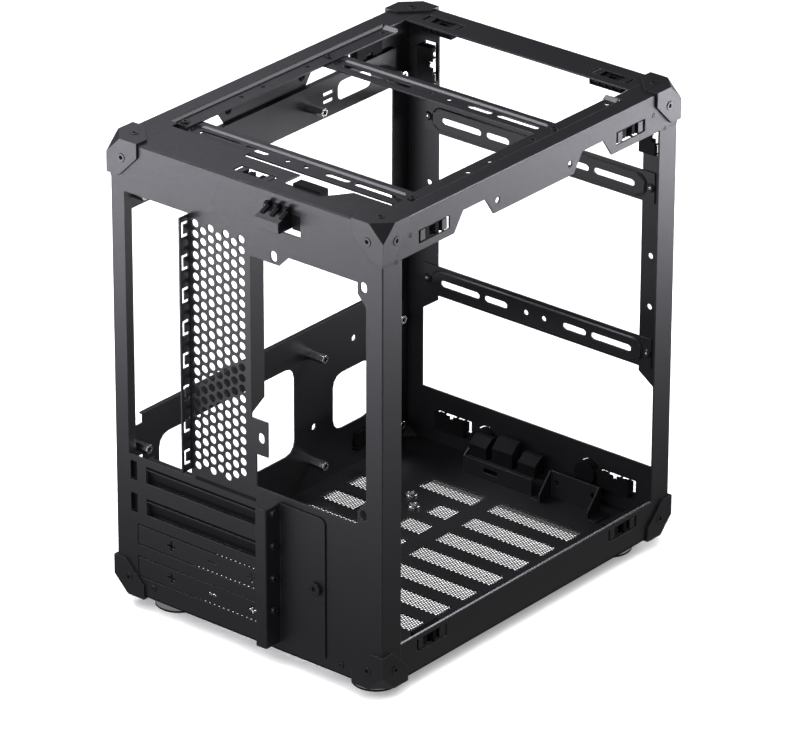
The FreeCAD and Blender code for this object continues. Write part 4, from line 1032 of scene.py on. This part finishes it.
def rail_bends():
    """Steep face of each rail's step, and the slopes at the ends of its bar seat, in a slightly lighter
    paint that is a painted highlight.
    """
    bm = bmesh.new()
    seat = HEIGHT - SEAT_DROP
    for side in (-1, 1):
        step = [(side * STEP_FOOT, seat), (side * STEP_TOP, HEIGHT), (side * STEP_BACK, HEIGHT)]
        extruded(bm, step, along_depth, (-SEAT_RUN, SEAT_RUN))
        for end in (-1, 1):
            slope = [(end * (SEAT_RUN - SEAT_SLOPE), seat), (end * SEAT_RUN, HEIGHT), (end * SEAT_RUN, seat)]
            extruded(bm, slope, along_width, mirrored(SEAT_EDGE, STEP_FOOT, side))
    mesh = mesh_from(bm, "rail_bends")
    mesh.materials.append(FINISHES["bend_highlight_paint"])
    finished("rail_bends", mesh, "frame_paint")


def tray_strip():
    """Upper tray strip with two slots along it, in place of an upright pair."""
    node = frame["nodes"]["tray_upper"]
    bm = bmesh.new()
    bm.from_mesh(node.data)
    bm.transform(node.matrix_world)
    bmesh.ops.remove_doubles(bm, verts=bm.verts, dist=1e-6)
    body = bpy.data.objects.new("tray_body", mesh_from(bm, "tray_body"))
    bm = bmesh.new()
    for y0, y1, z0, z1 in TRAY_SLOTS:
        cuboid(bm, place, (TRAY_FACE - 2 * SHEET, TRAY_FACE + SHEET), (y0, y1), (z0, z1))
    cutter = bpy.data.objects.new("tray_cutter", mesh_from(bm, "tray_cutter"))
    for part in (body, cutter):
        bpy.context.scene.collection.objects.link(part)
    cut = body.modifiers.new("slots", "BOOLEAN")
    cut.operation = "DIFFERENCE"
    cut.object = cutter
    evaluated = body.evaluated_get(bpy.context.evaluated_depsgraph_get())
    bm = bmesh.new()
    bm.from_mesh(evaluated.data)
    for part in (body, cutter):
        bpy.data.objects.remove(part)
    low, high = TRAY_UPRIGHTS_Z
    (lower_from, lower_to), (upper_from, upper_to) = [slot[2:] for slot in TRAY_SLOTS]
    for y in TRAY_UPRIGHTS_Y:
        for z in ((low, lower_from), (lower_to, upper_from), (upper_to, high)):
            cuboid(bm, place, (TRAY_FACE - SHEET, TRAY_FACE), y, z)
    mesh = mesh_from(bm, "tray_strip")
    mesh.materials.clear()
    finished("tray_strip", mesh, "frame_paint", "tray_upper")


# Corners and feet


BRACKET = 1.5
BRACKET_SCREW_SET = 11.2
FOOT_X = HALF_W - 24.8
FOOT_Y = HALF_D - 24.4
FOOT_PROFILE = [(0, 0), (11.5, 0), (11.5, -2.4), (11.9, -2.9), (13.2, -3.1), (13.7, -3.4), (13.9, -4.0),
                (13.9, -10.3), (13.7, -10.8), (13.3, -11.0), (0, -11.0)]
PAD_PROFILE = [(0, -11.0), (13.6, -11.0), (13.85, -11.2), (13.85, -11.8), (13.5, -12.1), (0, -12.1)]


def corner_screw_places():
    """Three screws on each corner bracket, one on each of its faces."""
    points = []
    x = HALF_W + BRACKET
    y = HALF_D + BRACKET
    x_set = x - BRACKET_SCREW_SET
    y_set = y - BRACKET_SCREW_SET
    for sx in (-1, 1):
        for sy in (-1, 1):
            for z, out in ((-BRACKET, -1.0), (HEIGHT + BRACKET, 1.0)):
                z_set = z - out * BRACKET_SCREW_SET
                points.append((place(sx * x, sy * y_set, z_set), (sx, 0.0, 0.0)))
                points.append((place(sx * x_set, sy * y, z_set), (0.0, sy, 0.0)))
                points.append((place(sx * x_set, sy * y_set, z), (0.0, 0.0, out)))
    return points


def turned_feet():
    """Four turned feet and the rubber pads under them."""
    for name, profile, slot, node in (("turned_feet", FOOT_PROFILE, "foot_metal", "feet"),
                                      ("rubber_pads", PAD_PROFILE, "rubber", "foot_pads")):
        bm = bmesh.new()
        for sx in (-1, 1):
            for sy in (-1, 1):
                spun(profile, sx * FOOT_X, sy * FOOT_Y, bm)
        finished(name, sharpened(mesh_from(bm, name)), slot, node)


# Build


def dress_nodes():
    """Gives every shown CAD node the finish of its slot."""
    slots = {entry["node"]: entry["material_slot"] for entry in frame["record"]["subparts"]}
    for name, node in frame["nodes"].items():
        node.data.materials.clear()
        node.data.materials.append(FINISHES[slots[name]])


def all_screws():
    """Screw heads, and the dimples and plugs that have the same turned shape."""
    screws("corner_screw_heads", corner_screw_places(), "black_screw", "corner_screws",
           radius=2.7, height=0.4, taper=0.92, socket=1.3, depth=0.38)
    screws("bar_screw_heads", bar_screw_places(), "black_screw", "bar_screws",
           radius=2.9, height=BAR_HEAD, taper=0.7, socket=1.1, depth=0.9)
    screws("bar_screw_tips", bar_tip_places(), "nickel",
           radius=1.4, height=0.3, taper=0.4, socket=0.2, depth=0.1)
    screws("slot_screw_heads", slot_screw_places(), "black_screw", "slot_screws",
           radius=2.8, height=1.8, taper=0.85, socket=1.2, depth=1.2)
    screws("rear_foot_screws", rear_foot_screw_places(), "black_screw",
           radius=2.3, height=0.9, taper=0.7, socket=0.9, depth=0.6)
    screws("rail_dimples", dimple_places(), "frame_paint",
           radius=1.5, height=0.12, taper=0.8, socket=0.6, depth=0.1)
    screws("rail_plugs", rail_plug_places(), "black_moulding",
           radius=2.6, height=0.8, taper=0.8, socket=0.8, depth=0.5)


dress_nodes()
floor_sheet()
rail_rims()
perforation()
grommet_rings()
all_screws()
turned_feet()
window_clips()
round_rims()
slot_covers()
catch_shelf()
catch_hooks()
front_sockets()
retainer_shadow_gap()
bar_bevels()
rail_bends()
tray_strip()


# Stage, in metres


WORLD_LEVEL = 0.02
WORLD_GLOSS = 0.035
FLOOR_SIZE = 12.0
FLOOR_GLOSS = 0.16
FLOOR_PALE = 0.85
FLOOR_DIM = 0.004
SHADOW_LEVEL = 0.3
FOOT_GLOW = 0.08
UNDER_GLOW = 1.35
# Rectangles of the floor, as x0, x1, y0 and y1, that glow as painted light: under the perforated fields,
# seen by the camera, and under the whole case, seen in gloss and bounce light.
UNDERSIDE = (-0.095, 0.055, -0.092, 0.112)
FOOTPRINT = (-0.122, 0.122, -0.15, 0.16)
LAMP_TINT = (0.977, 0.969, 1.053)
CARD_REACH = 0.85
CARD_LIFT = 0.004
CARD_SIZE = (0.9, 0.3)
# The photo's camera: focal length and width in pixels, place in millimetres as above, and its three ways.
PHOTO_FOCAL = 5998.9
PHOTO_WIDTH = 800.0
SENSOR_WIDTH = 36.0
CAMERA_PLACE = (1973.059, -2391.740, 1598.372)
CAMERA_RIGHT = Vector((0.77102791, 0.63679574, 0.00267418))
CAMERA_UP = Vector((-0.27554269, 0.32983339, 0.90293198))
CAMERA_AWAY = Vector((0.5741012, -0.69692261, 0.42977516))


def rectangle_mask(tree, where, x0, x1, y0, y1):
    """One inside a rectangle of the floor."""
    mask = math_node(tree, "GREATER_THAN", where.outputs["X"], x0)
    mask = math_node(tree, "MULTIPLY", mask, math_node(tree, "LESS_THAN", where.outputs["X"], x1))
    mask = math_node(tree, "MULTIPLY", mask, math_node(tree, "GREATER_THAN", where.outputs["Y"], y0))
    return math_node(tree, "MULTIPLY", mask, math_node(tree, "LESS_THAN", where.outputs["Y"], y1))


def reflected(tree, ray, level):
    """The level where a ray comes from gloss or glass, and none elsewhere."""
    bounced = math_node(tree, "MAXIMUM", ray.outputs["Is Glossy Ray"], ray.outputs["Is Transmission Ray"])
    return math_node(tree, "MULTIPLY", bounced, level)


def lit_floor(tree, grey, strength):
    """Matt floor of a grey, with a glow added to it."""
    matt = tree.nodes.new("ShaderNodeBsdfDiffuse")
    matt.inputs["Color"].default_value = (grey, grey, grey, 1.0)
    glow = tree.nodes.new("ShaderNodeEmission")
    tree.links.new(strength, glow.inputs["Strength"])
    both = tree.nodes.new("ShaderNodeAddShader")
    tree.links.new(matt.outputs[0], both.inputs[0])
    tree.links.new(glow.outputs[0], both.inputs[1])
    return both.outputs[0]


def pale_floor():
    """Floor that the camera sees as a white sweep with a soft shadow and a painted glow under the perforated
    fields; the object sees a dimmer one, with a weaker painted glow under the case.
    """
    bpy.ops.mesh.primitive_plane_add(size=FLOOR_SIZE)
    ground = bpy.context.object
    ground.name = "ground"
    material = bpy.data.materials.new("ground")
    material.use_nodes = True
    tree = material.node_tree
    tree.nodes.clear()
    ray = tree.nodes.new("ShaderNodeLightPath")
    where = tree.nodes.new("ShaderNodeSeparateXYZ")
    tree.links.new(tree.nodes.new("ShaderNodeTexCoord").outputs["Object"], where.inputs[0])
    below = math_node(tree, "MULTIPLY", rectangle_mask(tree, where, *UNDERSIDE), UNDER_GLOW)
    seen = math_node(tree, "ADD", below, SHADOW_LEVEL)
    under = math_node(tree, "MULTIPLY", rectangle_mask(tree, where, *FOOTPRINT), FOOT_GLOW)
    unseen = math_node(tree, "ADD", reflected(tree, ray, FLOOR_GLOSS), under)
    choice = tree.nodes.new("ShaderNodeMixShader")
    tree.links.new(ray.outputs["Is Camera Ray"], choice.inputs[0])
    tree.links.new(lit_floor(tree, FLOOR_DIM, unseen), choice.inputs[1])
    tree.links.new(lit_floor(tree, FLOOR_PALE, seen), choice.inputs[2])
    out = tree.nodes.new("ShaderNodeOutputMaterial")
    tree.links.new(choice.outputs[0], out.inputs["Surface"])
    ground.data.materials.append(material)
    return ground


def studio_world():
    """White to the camera, a dark grey in gloss and metal, and nearly no light of its own."""
    world = bpy.data.worlds.new("studio")
    world.use_nodes = True
    bpy.context.scene.world = world
    tree = world.node_tree
    ray = tree.nodes.new("ShaderNodeLightPath")
    back = tree.nodes["Background"]
    back.inputs["Color"].default_value = (1.0, 1.0, 1.0, 1.0)
    level = math_node(tree, "MAXIMUM", ray.outputs["Is Camera Ray"], reflected(tree, ray, WORLD_GLOSS))
    tree.links.new(math_node(tree, "MAXIMUM", level, WORLD_LEVEL), back.inputs["Strength"])


def lamp(name, spot, turn, size, power):
    """Area light that the camera doesn't see."""
    data = bpy.data.lights.new(name, "AREA")
    data.shape = "RECTANGLE"
    data.size, data.size_y = size
    data.energy = power
    data.color = LAMP_TINT
    light = bpy.data.objects.new(name, data)
    bpy.context.scene.collection.objects.link(light)
    light.location = spot
    light.rotation_euler = turn
    light.visible_camera = False
    return light


def soft_box(name, spot, target, size, power):
    """Light aimed at a target."""
    turn = (Vector(target) - Vector(spot)).to_track_quat("-Z", "Y").to_euler()
    return lamp(name, spot, turn, size, power)


def bounce_card(name, bearing, power):
    """White card lying on the floor and facing up; upright sheets mirror it towards their upper edges."""
    bearing = radians(bearing)
    spot = (CARD_REACH * cos(bearing), CARD_REACH * sin(bearing), CARD_LIFT)
    return lamp(name, spot, (pi, 0.0, bearing - pi / 2), CARD_SIZE, power)


def studio_lights(ground):
    """Cards and soft boxes round the object, and a wash that lights the floor alone."""
    bounce_card("card_rear_left", bearing=-125.0, power=12.2)
    bounce_card("card_front_right", bearing=50.0, power=11.8)
    bounce_card("card_front_left", bearing=133.0, power=6.0)
    bounce_card("card_rear_right", bearing=-47.0, power=1.5)
    soft_box("rear_soft", (0.0, -0.8, 0.5), target=(0.0, -0.1, 0.2), size=(1.4, 0.3), power=3.6)
    soft_box("back_soft", (-1.2, 1.4, 1.0), target=(0.0, 0.0, 0.25), size=(1.2, 1.0), power=0.16)
    soft_box("flange_soft", (-0.40, 0.22, 0.56), target=(0.0, -0.12, 0.29), size=(0.3, 0.2), power=0.2)
    soft_box("edge_right", (0.9, 1.45, 1.35), target=(0.0, 0.0, 0.2), size=(0.9, 0.6), power=10.0)
    soft_box("edge_rear", (-0.97, -0.13, 1.65), target=(0.0, -0.13, 0.28), size=(0.8, 0.6), power=12.0)
    wash = soft_box("floor_wash", (0.75, -0.95, 2.2), target=(0.1, -0.1, 0.0), size=(2.4, 2.4), power=150.0)
    wash.data.color = (1.0, 1.0, 1.0)
    only_floor = bpy.data.collections.new("only_floor")
    only_floor.objects.link(ground)
    wash.light_linking.receiver_collection = only_floor


def camera():
    """Camera in the place of the photo's own."""
    data = bpy.data.cameras.new("photo")
    data.sensor_fit = "HORIZONTAL"
    data.sensor_width = SENSOR_WIDTH
    data.lens = PHOTO_FOCAL / PHOTO_WIDTH * SENSOR_WIDTH
    data.clip_end = 50.0
    view = bpy.data.objects.new("photo", data)
    bpy.context.scene.collection.objects.link(view)
    turn = Matrix((CAMERA_RIGHT, CAMERA_UP, CAMERA_AWAY)).transposed().to_4x4()
    view.matrix_world = Matrix.Translation(place(*CAMERA_PLACE)) @ turn
    bpy.context.scene.camera = view


studio_lights(pale_floor())
studio_world()
camera()
bpy.context.scene.view_settings.view_transform = "Standard"
